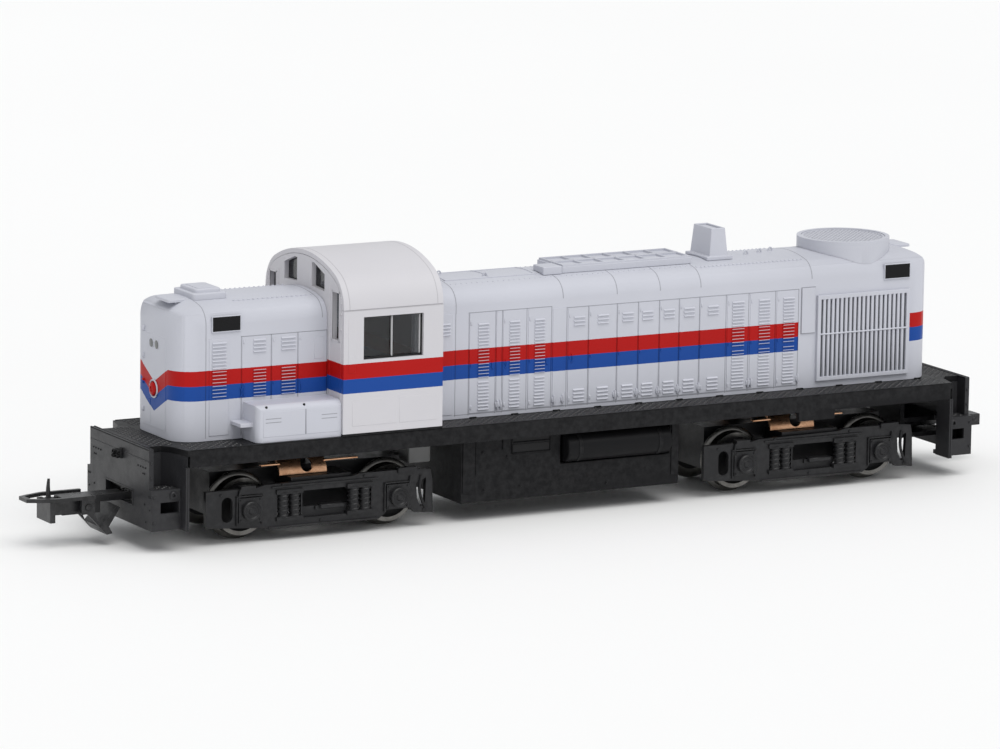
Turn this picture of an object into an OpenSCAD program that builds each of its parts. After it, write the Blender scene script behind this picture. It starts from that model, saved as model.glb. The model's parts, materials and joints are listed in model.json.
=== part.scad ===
// Road-switcher diesel locomotive, HO-scale model, complete with its trucks and couplers.
// +X runs toward the short hood, +Y is the locomotive's left, Z = 0 is the floor under the flanges.

/* [Overall] */
// outer face to outer face of the two end sheets
over_pilots = 188; // [182:1:226]
// end sheet to the full-width deck, the length of one step well
well_length = 7; // [6:0.1:9]
// deck width over the side sills
deck_width = 34.6; // [30:0.2:38]
// deck top above the rail head
deck_above_rail = 19.4; // [17:0.1:21]
// side sill depth
sill_depth = 3.4; // [2.4:0.1:4.2]
// deck plate thickness
deck_thick = 1.2; // [0.8:0.1:2]

/* [Running gear] */
// end sheet to the truck centre
truck_inset = 37.9; // [36.5:0.1:42]
// axle to axle in one truck
truck_wheelbase = 32.5; // [28:0.1:34]
// wheel diameter on the tread
wheel_diameter = 11.6; // [10:0.1:12.4]
// flange depth
flange_depth = 1.0; // [0.6:0.1:1.2]
// distance between the backs of one pair of wheels
back_to_back = 14.5; // [14:0.1:15]
// wheel thickness with its flange
wheel_width = 2.8; // [2.2:0.1:3]
// axle diameter
axle_diameter = 2.0; // [1.5:0.1:2.4]
// running clearance all round axles and pins
run_gap = 0.08; // [0.04:0.01:0.1]

/* [Hoods] */
// hood width
hood_width = 20.4; // [18:0.2:21]
// hood crown above the rail head
hood_above_rail = 46.7; // [42:0.1:50]
// end sheet to the hood's end face
nose_setback = 7.5; // [6:0.1:10]
// shell thickness
shell = 1.0; // [0.7:0.1:1.4]

/* [Cab] */
// cab width
cab_width = 34.6; // [31:0.2:36]
// front end sheet to the front wall of the cab
cab_setback = 40.1; // [38:0.1:46]
// cab length
cab_length = 22.0; // [19:0.1:24]
// cab crown above the rail head
cab_above_rail = 54.0; // [50:0.1:57]

/* [Underbody] */
// clearance between the tank and the front truck
tank_clear_front = 5.9; // [4:0.1:8]
// clearance between the tank and the rear truck
tank_clear_rear = 6.3; // [4:0.1:8]
// fuel tank width
tank_width = 28; // [24:0.5:30]

/* [Coupler] */
// height of the coupler neck above the rail head
coupler_above_rail = 8.3; // [7.6:0.1:9]

/* [Hidden] */
$fn = 64;
eps = 0.01;

rail = flange_depth;                       // rail head height over the floor
axle_z = rail + wheel_diameter / 2;
deck_top = rail + deck_above_rail;
pilot_x = over_pilots / 2;
deck_half = pilot_x - well_length;
sheet = 1.0;                               // end sheet thickness
sill_bottom = deck_top - sill_depth;
truck_x = pilot_x - truck_inset;
half_base = truck_wheelbase / 2;
axle_r = axle_diameter / 2;
tread_r = wheel_diameter / 2;
flange_r = tread_r + flange_depth;
flange_w = 0.8;
wheel_in = back_to_back / 2;
wheel_out = wheel_in + wheel_width;
body_fit = 0.02;                           // seating play between fixed pieces
under_deck = deck_top - deck_thick - body_fit;
boss_bottom = rail + 14;                   // truck boss under the deck
pin_r = 2.5;                               // truck pin in the boss

// hood section
nose_reach = pilot_x - nose_setback;
hood_half = hood_width / 2;
hood_crown = rail + hood_above_rail;
hood_rise = 4.6;
shoulder_r = 3.8;
nose_corner = 4.8;
nose_top_r = 7.0;

// cab section
cab_front = pilot_x - cab_setback;
cab_half = cab_width / 2;
cab_rear = cab_front - cab_length;
cab_base = deck_top + 0.5;
cab_crown = rail + cab_above_rail;
cab_rise = 9.6;
cab_side_r = 7.4;
gutter_z = cab_crown - cab_rise;
roof_thick = 1.0;

// end steps
well_in = 10.5;                            // inner wall of each step well
pilot_half = 13.5;
step_half = 14.8;
step_top = rail + 11.6;
step_bottom = rail + 3.5;
well_wall = 0.8;                           // thickness of the well's wall
hanger_post = 0.8;                         // post beside the end of the side sill

// trim on the hoods: first and last X
hatch_x = [nose_reach - 13.5, nose_reach - 6.1];
board_x = [nose_reach - 13.5, nose_reach - 7.5];          // number boards, short hood
rear_board_x = [-nose_reach + 5.9, -nose_reach + 11.9];   // number boards, long hood
radiator_x = [-nose_reach + 5.9, -nose_reach + 28.1];
filter_x = [radiator_x[1] + 0.4, radiator_x[1] + 3.6];
stack_x = [-nose_reach + 45.7, -nose_reach + 50.1];
roof_panel_x = [stack_x[1] + 5, stack_x[1] + 35];
horn_box_x = [roof_panel_x[1] + 0.2, roof_panel_x[1] + 4.5];
battery_end = cab_front + 18.4;
battery_top = deck_top + 7.4;
board_z = [hood_crown - 5.7, hood_crown - 2.8];
radiator_z = [deck_top + 1.5, hood_crown - 8.1];
filter_z = [hood_crown - 15.7, hood_crown - 6.3];
lamp_z = hood_crown - 9.1;
fan_r = 9.6;
fan_x = -nose_reach + fan_r + 6.2;
fan_top = hood_crown + 2.2;
fan_rim = 0.9;
trim_proud = 0.3;                          // how far flat trim stands off the hood side

// cab openings
side_x0 = cab_rear + 4.4;                  // side window
side_x1 = cab_front - 4.4;
side_z0 = gutter_z - 10;
side_z1 = gutter_z - 1.5;
end_y0 = 3.2;                              // end windows over the hood
end_y1 = 8.8;
door_y0 = 12.4;                            // end windows beside the hood
door_y1 = 15.2;
door_z0 = gutter_z - 6.2;
door_h = 9.4;
pane = 0.5;

// coupler
neck_z = rail + coupler_above_rail;
neck_thick = 1.4;
neck_half = 2.0;
pocket_pivot = pilot_x - 8;
pivot_r = 1.0;
pocket_half = 6.0;
plate_gap = 0.4;
plate_t = 1.0;
hub_x = pilot_x + 8.4;                     // cross pin of the loop
hub_z = neck_z - 1.2;
body_half = 2.6;
head_x = pilot_x + 15.1;
loop_tip = pilot_x + 20.6;
loop_half = 3.9;
loop_wire = 0.8;
loop_z = neck_z + 0.3;
drawbar_end = pilot_x + 10.4;
x_mid = (loop_tip - drawbar_end) / 2;

// section of a hood or the cab: straight sides, two shoulder arcs and one crown arc, drawn inset by t
module arch2d(half, base, spring, crown, r1, t = 0) {
  b = crown - spring;
  cx = half - r1;
  c = (cx * cx - (b - r1) * (b - r1)) / (2 * (b - r1));
  R = b + c;
  lean = cx / (R - r1);
  far = 2 * r1;
  up = far * sqrt(1 - lean * lean);
  translate([-(half - t), base]) square([2 * (half - t), spring - base]);
  intersection() {
    translate([0, spring - c]) circle(R - t, $fn = 128);
    polygon([[-cx, spring], [cx, spring], [cx + far * lean, spring + up], [-cx - far * lean, spring + up]]);
  }
  for (s = [0, 1]) mirror([s, 0]) intersection() {
    translate([cx, spring]) circle(r1 - t);
    polygon([[cx, spring], [cx + far, spring], [cx + far, spring + up], [cx + far * lean, spring + up]]);
  }
}
module along_x(x0, x1) translate([x0, 0, 0]) rotate([90, 0, 90]) linear_extrude(x1 - x0) children();
module block(x0, x1, y0, y1, z0, z1) translate([x0, y0, z0]) cube([x1 - x0, y1 - y0, z1 - z0]);
module both_sides() { children(); mirror([0, 1, 0]) children(); }
// puts the middle of the overall length at the origin
module placed() translate([-x_mid, 0, 0]) children();
module cyl_y(r, x, y0, y1, z) translate([x, y1, z]) rotate([90, 0, 0]) cylinder(r = r, h = y1 - y0);

module hood_arch(t) arch2d(hood_half, deck_top, hood_crown - hood_rise, hood_crown, shoulder_r, t);
module cab_arch(t) arch2d(cab_half, cab_base, cab_crown - cab_rise, cab_crown, cab_side_r, t);

// outer form of a hood from x0 to its rounded end at x1 (x1 beyond x0)
module hood_form(x0, x1, t) {
  intersection() {
    along_x(x0, x1 - t) hood_arch(t);
    // plan with rounded vertical corners
    translate([0, 0, deck_top - 1]) linear_extrude(hood_crown - deck_top + 2) {
      translate([x0, -(hood_half - t)]) square([x1 - nose_corner - x0, 2 * (hood_half - t)]);
      for (s = [-1, 1]) translate([x1 - nose_corner, s * (hood_half - nose_corner)]) circle(nose_corner - t);
      translate([x1 - nose_corner, -(hood_half - nose_corner)])
        square([nose_corner - t, 2 * (hood_half - nose_corner)]);
    }
    // side view with a rounded top edge
    translate([0, hood_half + 1, 0]) rotate([90, 0, 0]) linear_extrude(2 * hood_half + 2) {
      translate([x0, deck_top - 1]) square([x1 - t - x0, hood_crown - nose_top_r - deck_top + 1]);
      translate([x0, deck_top]) square([x1 - nose_top_r - x0, hood_crown - deck_top + 1]);
      translate([x1 - nose_top_r, hood_crown - nose_top_r]) circle(nose_top_r - t);
    }
  }
}

module deck() color([0.14, 0.14, 0.15]) placed() {
  difference() {
    union() {
      block(-deck_half, deck_half, -deck_width / 2, deck_width / 2, deck_top - deck_thick, deck_top);
      both_sides() block(-deck_half, deck_half, deck_width / 2 - 1.2, deck_width / 2, sill_bottom, deck_top);
      for (s = [0, 1]) mirror([s, 0, 0])
        translate([0, 0, deck_top - deck_thick]) linear_extrude(deck_thick) end_platform();
      // raised footing of the cab
      block(cab_rear, cab_front, -deck_width / 2, deck_width / 2, deck_top - eps, cab_base);
      // truck bosses
      for (s = [-1, 1])
        translate([s * truck_x, 0, boss_bottom])
          cylinder(r = 5, h = deck_top - deck_thick - boss_bottom + eps);
      // sill drop brackets
      both_sides() block(-truck_x - 2.9, -truck_x + 5.6, deck_width / 2 - 1.2, deck_width / 2,
        sill_bottom - 1.8, sill_bottom);
    }
    for (s = [-1, 1])
      translate([s * truck_x, 0, boss_bottom - 1])
        cylinder(r = pin_r + run_gap, h = deck_top - deck_thick - boss_bottom + 1);
    // inside of the cab footing is open for the floor piece
    block(cab_rear + 2, cab_front - 2, -cab_half + 2, cab_half - 2, deck_top - 0.2, cab_base + 1);
  }
}

// line of the step well's wall from the end sheet round to the side sill, +Y side
well_line = [[pilot_x - sheet - body_fit, well_in], [pilot_x - sheet - 3, well_in - 0.2],
             [deck_half + 1.6, well_in + 1.5], [deck_half + 0.4, deck_width / 2 - 0.1]];
module end_platform() polygon(concat([[deck_half - 1, deck_width / 2 - 0.1]],
  [for (i = [3 : -1 : 0]) well_line[i]], [for (q = well_line) [q[0], -q[1]]],
  [[deck_half - 1, -deck_width / 2 + 0.1]]));
// the wall's inner line keeps its X at both ends, so it stays clear of the sheet and of the side sill
module well_wall_2d() polygon(concat(well_line,
  [for (i = [3 : -1 : 0]) well_line[i] - [i == 0 || i == 3 ? 0 : well_wall, well_wall]]));

// one end sheet with its step wells, drawn for the +X end
module pilot_piece() {
  difference() {
    union() {
      block(pilot_x - sheet, pilot_x, -pilot_half, pilot_half, step_top - eps, deck_top);
      block(pilot_x - sheet, pilot_x, -step_half, step_half, step_bottom, step_top);
      both_sides() {
        // wall of the well, under the deck
        translate([0, 0, step_bottom]) linear_extrude(under_deck - step_bottom) well_wall_2d();
        block(pilot_x - sheet - 0.5, pilot_x - sheet + eps, well_in - 0.6, well_in, step_bottom, under_deck);
        // outer post beside the sill's end
        block(deck_half + body_fit, deck_half + hanger_post, well_in + 1.5, deck_width / 2 - 0.2,
              step_bottom, sill_bottom);
        // treads
        block(deck_half + 0.3, pilot_x - sheet + eps, well_in + 0.2, step_half, step_top - 0.8, step_top);
        block(deck_half + 0.3, pilot_x - sheet + eps, well_in + 0.2, step_half,
              step_bottom, step_bottom + 0.8);
        // slotted step front
        difference() {
          block(deck_half + 0.1, pilot_x - sheet + eps, step_half - 0.8, step_half, step_bottom, step_top);
          block(deck_half + 1.2, pilot_x - sheet - 0.9, step_half - 1, step_half + 1,
                step_bottom + 3.4, step_bottom + 5.6);
        }
      }
    }
    // coupler opening
    block(pilot_x - sheet - 1, pilot_x + 1, -pocket_half, pocket_half, neck_z - 1.0, neck_z + 1.9);
  }
}
module front_pilot() color([0.2, 0.2, 0.21]) placed() pilot_piece();
module rear_pilot() color([0.2, 0.2, 0.21]) placed() mirror([1, 0, 0]) pilot_piece();

// two plates with the pivot pin between them, hung from the deck by a back plate
module coupler_pocket() {
  slot_half = neck_thick / 2 + plate_gap;
  back = pocket_pivot - 3;
  for (z = [neck_z + slot_half, neck_z - slot_half - plate_t])
    block(back, pilot_x - sheet - body_fit, -pocket_half, pocket_half, z, z + plate_t);
  block(back - 1, back + eps, -pocket_half, pocket_half, neck_z - slot_half - plate_t, under_deck);
  translate([pocket_pivot, 0, neck_z - slot_half - eps]) cylinder(r = pivot_r, h = 2 * slot_half + 2 * eps);
}
module coupler_pockets() color([0.16, 0.16, 0.17]) placed() {
  coupler_pocket();
  mirror([1, 0, 0]) coupler_pocket();
}

module hood_shell(x0, x1) difference() {
  hood_form(x0, x1, 0);
  translate([0, 0, -shell]) hood_form(x0 - 1, x1, shell);
  block(x0 - 1, x1 - nose_corner, -hood_half + shell, hood_half - shell,
        deck_top - 1, hood_crown - hood_rise - shell);
}
module short_hood() color([0.9, 0.91, 0.94]) placed()
  translate([0, 0, body_fit]) hood_shell(cab_front + body_fit, nose_reach);
module long_hood() color([0.9, 0.91, 0.94]) placed()
  translate([0, 0, body_fit]) mirror([1, 0, 0]) hood_shell(-cab_rear + body_fit, nose_reach);

module visor_piece() difference() {
  block(nose_reach - 5.4, nose_reach - 1.4, -3.4, 3.4, hood_crown - 3.6, hood_crown - 0.1);
  translate([0, 0, 2 * body_fit]) hood_form(cab_front, nose_reach, -body_fit);
}
module nose_visor() color([0.88, 0.89, 0.93]) placed() visor_piece();
module rear_visor() color([0.88, 0.89, 0.93]) placed() mirror([1, 0, 0]) visor_piece();

// a piece that sits on the hood's roof, cut to its curve
module on_hood() difference() {
  children();
  translate([0, 0, 2 * body_fit]) along_x(-nose_reach, nose_reach) hood_arch(-body_fit);
}

module hood_hatch() color([0.88, 0.89, 0.93]) placed() on_hood()
  hull() {
    block(hatch_x[0], hatch_x[1], -4.6, 4.6, hood_crown - 1, hood_crown + 0.2);
    block(hatch_x[0] + 1.4, hatch_x[1] - 1, -4.2, 4.2, hood_crown + 1.3, hood_crown + 1.7);
  }
module roof_panel() color([0.9, 0.91, 0.94]) placed() on_hood()
  block(roof_panel_x[0], roof_panel_x[1], -5.2, 5.2, hood_crown - 1.5, hood_crown + 0.9);
module horn_box() color([0.88, 0.89, 0.93]) placed() on_hood()
  block(horn_box_x[0], horn_box_x[1], 1.2, 5.6, hood_crown - 1.5, hood_crown + 1.2);
module exhaust_stack() color([0.85, 0.86, 0.9]) placed() on_hood() difference() {
  union() {
    hull() {
      block(stack_x[0], stack_x[1], -4.0, 4.0, hood_crown - 1, hood_crown);
      block(stack_x[0] + 0.6, stack_x[1] - 0.6, -3.6, 3.6, hood_crown + 6.0, hood_crown + 6.2);
    }
    block(stack_x[0] - 0.8, stack_x[1] + 0.8, -4.5, 4.5, hood_crown - 1.2, hood_crown + 0.5);
  }
  block(stack_x[0] + 1, stack_x[1] - 1, -3.2, 3.2, hood_crown + 3, hood_crown + 7);
}
module fan_shroud() color([0.9, 0.91, 0.94]) placed() on_hood() difference() {
  translate([fan_x, 0, hood_crown - 4]) cylinder(r = fan_r, h = fan_top - hood_crown + 4);
  translate([fan_x, 0, hood_crown + 0.2]) cylinder(r = fan_r - fan_rim, h = 5);
}
module fan_grille() color([0.75, 0.76, 0.79]) placed() difference() {
  translate([fan_x, 0, fan_top - 1.0]) cylinder(r = fan_r - fan_rim - body_fit, h = 0.7);
  for (a = [0 : 30 : 330])
    translate([fan_x, 0, 0]) rotate(a) block(2.2, fan_r - 2, -0.5, 0.5, fan_top - 2, fan_top + 1);
}
module radiator_frame() {
  x0 = radiator_x[0];
  z0 = radiator_z[0];
  z1 = radiator_z[1];
  slots = 17;
  pitch = (radiator_x[1] - x0 - 2 * 0.8) / slots;
  difference() {
    block(x0, radiator_x[1], hood_half + body_fit, hood_half + 0.7, z0, z1);
    for (i = [0 : slots - 1]) translate([x0 + 0.8 + (i + 0.25) * pitch, 0, 0])
      block(0, pitch / 2, hood_half + 0.25, hood_half + 1, z0 + 0.8, z1 - 0.8);
  }
}
module radiator_left() color([0.86, 0.87, 0.9]) placed() radiator_frame();
module radiator_right() color([0.86, 0.87, 0.9]) placed() mirror([0, 1, 0]) radiator_frame();
module filter_panels() color([0.86, 0.87, 0.9]) placed() both_sides()
  block(filter_x[0], filter_x[1], hood_half + body_fit, hood_half + trim_proud, filter_z[0], filter_z[1]);
module number_boards() color([0.05, 0.05, 0.05]) placed() both_sides() for (q = [board_x, rear_board_x])
  block(q[0], q[1], hood_half + body_fit, hood_half + trim_proud, board_z[0], board_z[1]);
module lamp_pair() {
  for (s = [-1, 1])
    translate([nose_reach + body_fit, s * 1.2, lamp_z]) rotate([0, 90, 0]) cylinder(r = 0.9, h = 0.6);
}
module headlights() color([0.85, 0.86, 0.85]) placed() { lamp_pair(); mirror([1, 0, 0]) lamp_pair(); }

// cab end wall openings, drawn in Y and Z
module end_windows() for (s = [0, 1]) mirror([s, 0]) {
  polygon([[end_y0, cab_crown - 6.7], [end_y1, cab_crown - 7], [end_y1, cab_crown - 3.6],
           [end_y0 + 1, cab_crown - 1.9], [end_y0, cab_crown - 2]]);
  translate([door_y0, door_z0]) square([door_y1 - door_y0, door_h]);
}
module cab_walls() color([0.93, 0.93, 0.93]) placed() translate([0, 0, body_fit]) difference() {
  union() {
    // side walls up to the gutter
    difference() {
      block(cab_rear, cab_front, -cab_half, cab_half, cab_base, gutter_z);
      block(cab_rear + shell, cab_front - shell, -cab_half + shell, cab_half - shell,
            cab_base - 1, gutter_z + 1);
    }
    // end walls under the roof
    for (x = [cab_rear, cab_front - shell]) along_x(x, x + shell) intersection() {
      cab_arch(roof_thick + body_fit);
      translate([-cab_half, gutter_z - 2]) square([2 * cab_half, cab_crown]);
    }
  }
  // windows
  both_sides() block(side_x0, side_x1, cab_half - 2, cab_half + 1, side_z0, side_z1);
  along_x(cab_rear - 1, cab_front + 1) end_windows();
}
module cab_roof() color([0.93, 0.93, 0.93]) placed() translate([0, 0, 2 * body_fit])
  along_x(cab_rear, cab_front) difference() {
    cab_arch(0);
    cab_arch(roof_thick);
    translate([-cab_half - 1, 0]) square([2 * cab_half + 2, gutter_z]);
  }
module cab_glazing() color([0.6, 0.7, 0.75, 0.5]) placed() {
  both_sides() block(side_x0 - 0.8, side_x1 + 0.8, cab_half - shell - pane, cab_half - shell - body_fit,
                     side_z0 - 0.8, side_z1 + 0.8);
  for (x = [cab_rear + shell + body_fit, cab_front - shell - pane])
    along_x(x, x + pane - body_fit) intersection() {
    cab_arch(roof_thick + 0.1);
    for (s = [0, 1]) mirror([s, 0]) {
      translate([end_y0 - 0.6, cab_crown - 7.3]) square([end_y1 - end_y0 + 1.2, 5.8]);
      translate([door_y0 - 0.6, door_z0 - 0.5]) square([door_y1 - door_y0 + 0.7, door_h + 1]);
    }
  }
}
module cab_floor() color([0.2, 0.2, 0.21]) placed()
  block(cab_rear + 2.1, cab_front - 2.1, -cab_half + 2.1, cab_half - 2.1, deck_top - 0.2, deck_top + 5);

module battery_box() translate([0, 0, body_fit]) {
  x0 = cab_front + body_fit;
  x1 = battery_end;
  y0 = hood_half + body_fit;
  y1 = cab_half - 0.6;
  z1 = battery_top;
  r = 1.4;
  intersection() {
    block(x0, x1, y0, y1, deck_top, z1);
    translate([0, 0, deck_top - 1]) linear_extrude(z1 - deck_top + 2) {
      translate([x0, y0]) square([x1 - r - x0, y1 - y0]);
      translate([x0, y0]) square([x1 - x0, y1 - r - y0]);
      translate([x1 - r, y1 - r]) circle(r);
    }
    along_x(x0 - 1, x1 + 1) {
      translate([y0, deck_top - 1]) square([y1 - y0 - r, z1 - deck_top + 1]);
      translate([y0, deck_top - 1]) square([y1 - y0, z1 - r - deck_top + 1]);
      translate([y1 - r, z1 - r]) circle(r);
    }
  }
  block(x1 - eps, x1 + 2.6, y0, y0 + 4.4, deck_top + 3, deck_top + 3.8);
}
module battery_box_left() color([0.9, 0.91, 0.94]) placed() battery_box();
module battery_box_right() color([0.9, 0.91, 0.94]) placed() mirror([0, 1, 0]) battery_box();

frame_front = half_base + 9.35;            // sideframe's ends from the truck centre
frame_rear = half_base + 8.15;
tank_x0 = -truck_x + frame_front + tank_clear_rear;
tank_x1 = truck_x - frame_rear - tank_clear_front;
tank_bottom = rail + 3;
tank_recess = [tank_x0 + 2.2, tank_x1 - 22.6];
module fuel_tank() color([0.12, 0.12, 0.13]) placed() difference() {
  block(tank_x0, tank_x1, -tank_width / 2, tank_width / 2, tank_bottom, under_deck);
  both_sides() block(tank_recess[0], tank_recess[1], tank_width / 2 - 3.4, tank_width / 2 + 1,
                     deck_top - 10, deck_top);
}
module air_reservoirs() color([0.14, 0.14, 0.15]) placed() both_sides()
  translate([tank_recess[0] + 0.6, tank_width / 2 - 0.4, deck_top - 6.9])
    rotate([0, 90, 0]) cylinder(r = 2.9, h = tank_recess[1] - tank_recess[0] - 1.2);
module drive_weight() color([0.5, 0.5, 0.52]) placed()
  block(-nose_reach + 16.5, cab_rear - 2, -hood_half + shell + 1.2, hood_half - shell - 1.2,
        deck_top + body_fit, hood_crown - hood_rise - shell - 1);

module motor_mount() color([0.7, 0.7, 0.7]) placed()
  block(tank_x1 + 2.6, tank_x1 + 7.6, -6, 6, rail + 10.4, under_deck);

// truck, drawn about its own centre
side_in = 12.4;                            // inner face of the sideframes
side_out = 13.4;
wheel_room = half_base - flange_r;         // truck centre to the nearest flange
beam_half = wheel_room - 2.85;
module truck_frame() {
  difference() {
    union() {
      block(-21, 21, -5.4, 5.4, rail + 3.4, rail + 12.2);
      block(-beam_half, beam_half, -side_in + body_fit, side_in - body_fit, rail + 8.8, rail + 11.2);
      translate([0, 0, rail + 12]) cylinder(r = pin_r, h = deck_top - deck_thick - rail - 12.3);
    }
    for (s = [-1, 1]) cyl_y(axle_r + run_gap, s * half_base, -20, 20, axle_z);
  }
}
// outline of one sideframe casting in X from the truck centre and Z over the rail head
casting = [[frame_front, 10], [frame_front, 2.8], [half_base + 3.75, 2.4], [half_base - 2.85, 1.9],
           [half_base - 4.25, 1.5], [-half_base + 4.05, 1.5], [-half_base + 2.65, 2.4],
           [-half_base + 2.25, 3.2],
           [-half_base - 3.15, 3.2], [-half_base - 3.95, 2.2], [-frame_rear, 1.8], [-half_base - 7.95, 8.6],
           [-half_base - 7.55, 10.6], [-half_base - 3.15, 11], [-8, 11], [-6.2, 10.6],
           [half_base - 3.45, 10.4], [half_base - 1.65, 10]];
module casting_openings() {
  translate([-5.6, 3.2]) square([10.2, 5.4]);
  for (x = [-10.6, 4.9]) translate([x, 3.6]) square([5.2, 5.0]);
  // oval hanger slot beyond one journal, curved gap beyond the other
  translate([half_base, 0]) {
    for (z = [4.8, 7.4]) translate([4.75, z]) circle(1.2);
    translate([3.55, 4.8]) square([2.4, 2.6]);
  }
  translate([-half_base, 0]) polygon([[-4.35, 8], [-6.55, 9], [-6.35, 3.6], [-5.35, 3.2], [-4.55, 5]]);
}
module sideframe() difference() {
  union() {
    translate([0, side_out, rail]) rotate([90, 0, 0]) linear_extrude(side_out - side_in) difference() {
      polygon(casting);
      casting_openings();
    }
    // journal boxes with round caps
    for (s = [-1, 1]) {
      block(s * half_base - 2.5, s * half_base + 2.5, side_in + eps, side_out + 0.7,
            axle_z - 2.4, axle_z + 2.5);
      cyl_y(1.9, s * half_base, side_out, side_out + 1.3, axle_z);
    }
    block(half_base - 1.25, half_base + 1.95, side_in + eps, side_out + 0.5, rail + 9.0, rail + 10.6);
    block(-half_base - 4.35, -half_base - 0.15, side_in + eps, side_out + 0.4, rail + 10.4, rail + 11.4);
    // spring plates
    for (x = [-10.6, 4.9]) {
      block(x - 0.3, x + 5.5, side_in + eps, side_out + 0.5, rail + 8.3, rail + 9.2);
      block(x - 0.3, x + 5.5, side_in + eps, side_out + 0.5, rail + 3.0, rail + 3.8);
      for (d = [1.35, 3.85])
        translate([x + d, (side_in + side_out) / 2 + 0.2, rail + 3.6]) cylinder(r = 1.0, h = 5);
    }
    // brake beam end seen through the window
    block(-4.2, 1.4, side_in - 0.8, side_in + 0.4, rail + 4.4, rail + 5.2);
    block(-5.7, 4.8, side_in - 0.8, side_in + eps, rail + 2.4, rail + 5.2);
  }
  for (s = [-1, 1]) cyl_y(axle_r + run_gap, s * half_base, 11, side_in + 0.7, axle_z);
}
module sideframes() both_sides() sideframe();
// bent contact strip over each side of the truck
module contacts() both_sides() difference() {
  along_x(-2.4, wheel_room - 1.45) intersection() {
    difference() {
      translate([6.6, rail + 11.3]) circle(3.5);
      translate([6.6, rail + 11.3]) circle(3.0);
    }
    translate([6.6, rail + 11.3]) square(4);
  }
  cyl_y(1.3, 1.9, 6, 12, rail + 12.9);
}
module front_truck_frame() color([0.13, 0.13, 0.14]) placed() translate([truck_x, 0, 0]) truck_frame();
module rear_truck_frame() color([0.13, 0.13, 0.14]) placed() translate([-truck_x, 0, 0]) truck_frame();
module front_sideframes() color([0.13, 0.13, 0.14]) placed() translate([truck_x, 0, 0]) sideframes();
module rear_sideframes() color([0.13, 0.13, 0.14]) placed() translate([-truck_x, 0, 0]) sideframes();
module front_contacts() color([0.78, 0.52, 0.34]) placed() translate([truck_x, 0, 0]) contacts();
module rear_contacts() color([0.78, 0.52, 0.34]) placed() translate([-truck_x, 0, 0]) contacts();

axle_end = 12.7;
module wheelset(x) color([0.6, 0.6, 0.62]) placed() translate([x, 0, axle_z]) {
  rotate([90, 0, 0]) translate([0, 0, -axle_end]) cylinder(r = axle_r, h = 2 * axle_end);
  both_sides() {
    cyl_y(tread_r, 0, wheel_in, wheel_out, 0);
    cyl_y(flange_r, 0, wheel_in, wheel_in + flange_w, 0);
  }
}
module wheelset_1() wheelset(truck_x + half_base);
module wheelset_2() wheelset(truck_x - half_base);
module wheelset_3() wheelset(-truck_x + half_base);
module wheelset_4() wheelset(-truck_x - half_base);

module front_coupler() color([0.15, 0.15, 0.16]) placed() difference() {
  union() {
    translate([pocket_pivot, 0, neck_z - neck_thick / 2]) cylinder(r = neck_half, h = neck_thick);
    block(pocket_pivot, hub_x, -neck_half, neck_half, neck_z - neck_thick / 2, neck_z + neck_thick / 2);
    block(pilot_x + 5, head_x - 2, -body_half + 0.6, body_half - 0.6, neck_z - 2.8, neck_z + neck_thick / 2);
    block(head_x - 2.2, head_x, -2.2, 2.2, neck_z - 2.6, neck_z + 0.2);
    block(head_x - eps, head_x + 1.1, -3.2, 3.2, neck_z - 3.9, neck_z + 0.2);
    cyl_y(0.6, hub_x, -loop_half - 0.2, loop_half + 0.2, hub_z);
  }
  translate([pocket_pivot, 0, 0]) cylinder(r = pivot_r + run_gap, h = 30);
}
module coupler_hook() color([0.2, 0.18, 0.17]) placed()
  block(head_x - 0.6, head_x + 0.6, -0.7, 0.7, neck_z + 0.2 + body_fit, neck_z + 4.4);
// lifting loop: flat ring round the hook, side ears on the cross pin and a sloped counterweight behind
ring_out = [[hub_x - 1.6, loop_half], [head_x, loop_half + 0.1], [loop_tip - 1.6, 2.6], [loop_tip, 1.8]];
ring_in = [[hub_x - 1.6, loop_half - loop_wire], [head_x, loop_half - loop_wire + 0.1],
           [loop_tip - 2, 2.0], [loop_tip - 1, 1.4]];
module mirrored_outline(q) polygon(concat(q, [for (i = [len(q) - 1 : -1 : 0]) [q[i][0], -q[i][1]]]));
tail = [[hub_x - 1.2, hub_z - 1.2], [hub_x + 0.2, hub_z - 1.3], [hub_x - 4.0, hub_z - 5.8],
        [hub_x - 5.2, hub_z - 5.6], [hub_x - 4.4, hub_z - 4.2], [hub_x - 6.8, hub_z - 0.6],
        [hub_x - 6.2, hub_z - 0.2], [hub_x - 2.6, hub_z - 4.2]];
module coupler_loop() color([0.15, 0.15, 0.16]) placed() difference() {
  union() {
    translate([0, 0, loop_z]) linear_extrude(0.7) difference() {
      mirrored_outline(ring_out);
      mirrored_outline(concat([[hub_x - 3, loop_half - loop_wire]], ring_in));
    }
    both_sides() {
      block(hub_x - 1.4, hub_x + 1.4, loop_half - loop_wire, loop_half, hub_z - 1.4, loop_z + 0.5);
      translate([0, loop_half, 0]) rotate([90, 0, 0]) linear_extrude(loop_wire) polygon(tail);
    }
    translate([0, loop_half - eps, 0]) rotate([90, 0, 0]) linear_extrude(2 * loop_half - 2 * eps)
      polygon([tail[2], tail[3], tail[4], tail[5], tail[6], tail[7]]);
  }
  cyl_y(0.6 + run_gap, hub_x, -10, 10, hub_z);
}
module rear_drawbar() color([0.15, 0.15, 0.16]) placed() mirror([1, 0, 0]) difference() {
  union() {
    translate([pocket_pivot, 0, neck_z - neck_thick / 2]) cylinder(r = neck_half, h = neck_thick);
    block(pocket_pivot, pilot_x + 4, -neck_half, neck_half, neck_z - neck_thick / 2, neck_z + neck_thick / 2);
    block(pilot_x + 4 - eps, drawbar_end, -neck_half, neck_half, neck_z - 1.7, neck_z + neck_thick / 2);
  }
  translate([pocket_pivot, 0, 0]) cylinder(r = pivot_r + run_gap, h = 30);
}

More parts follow.
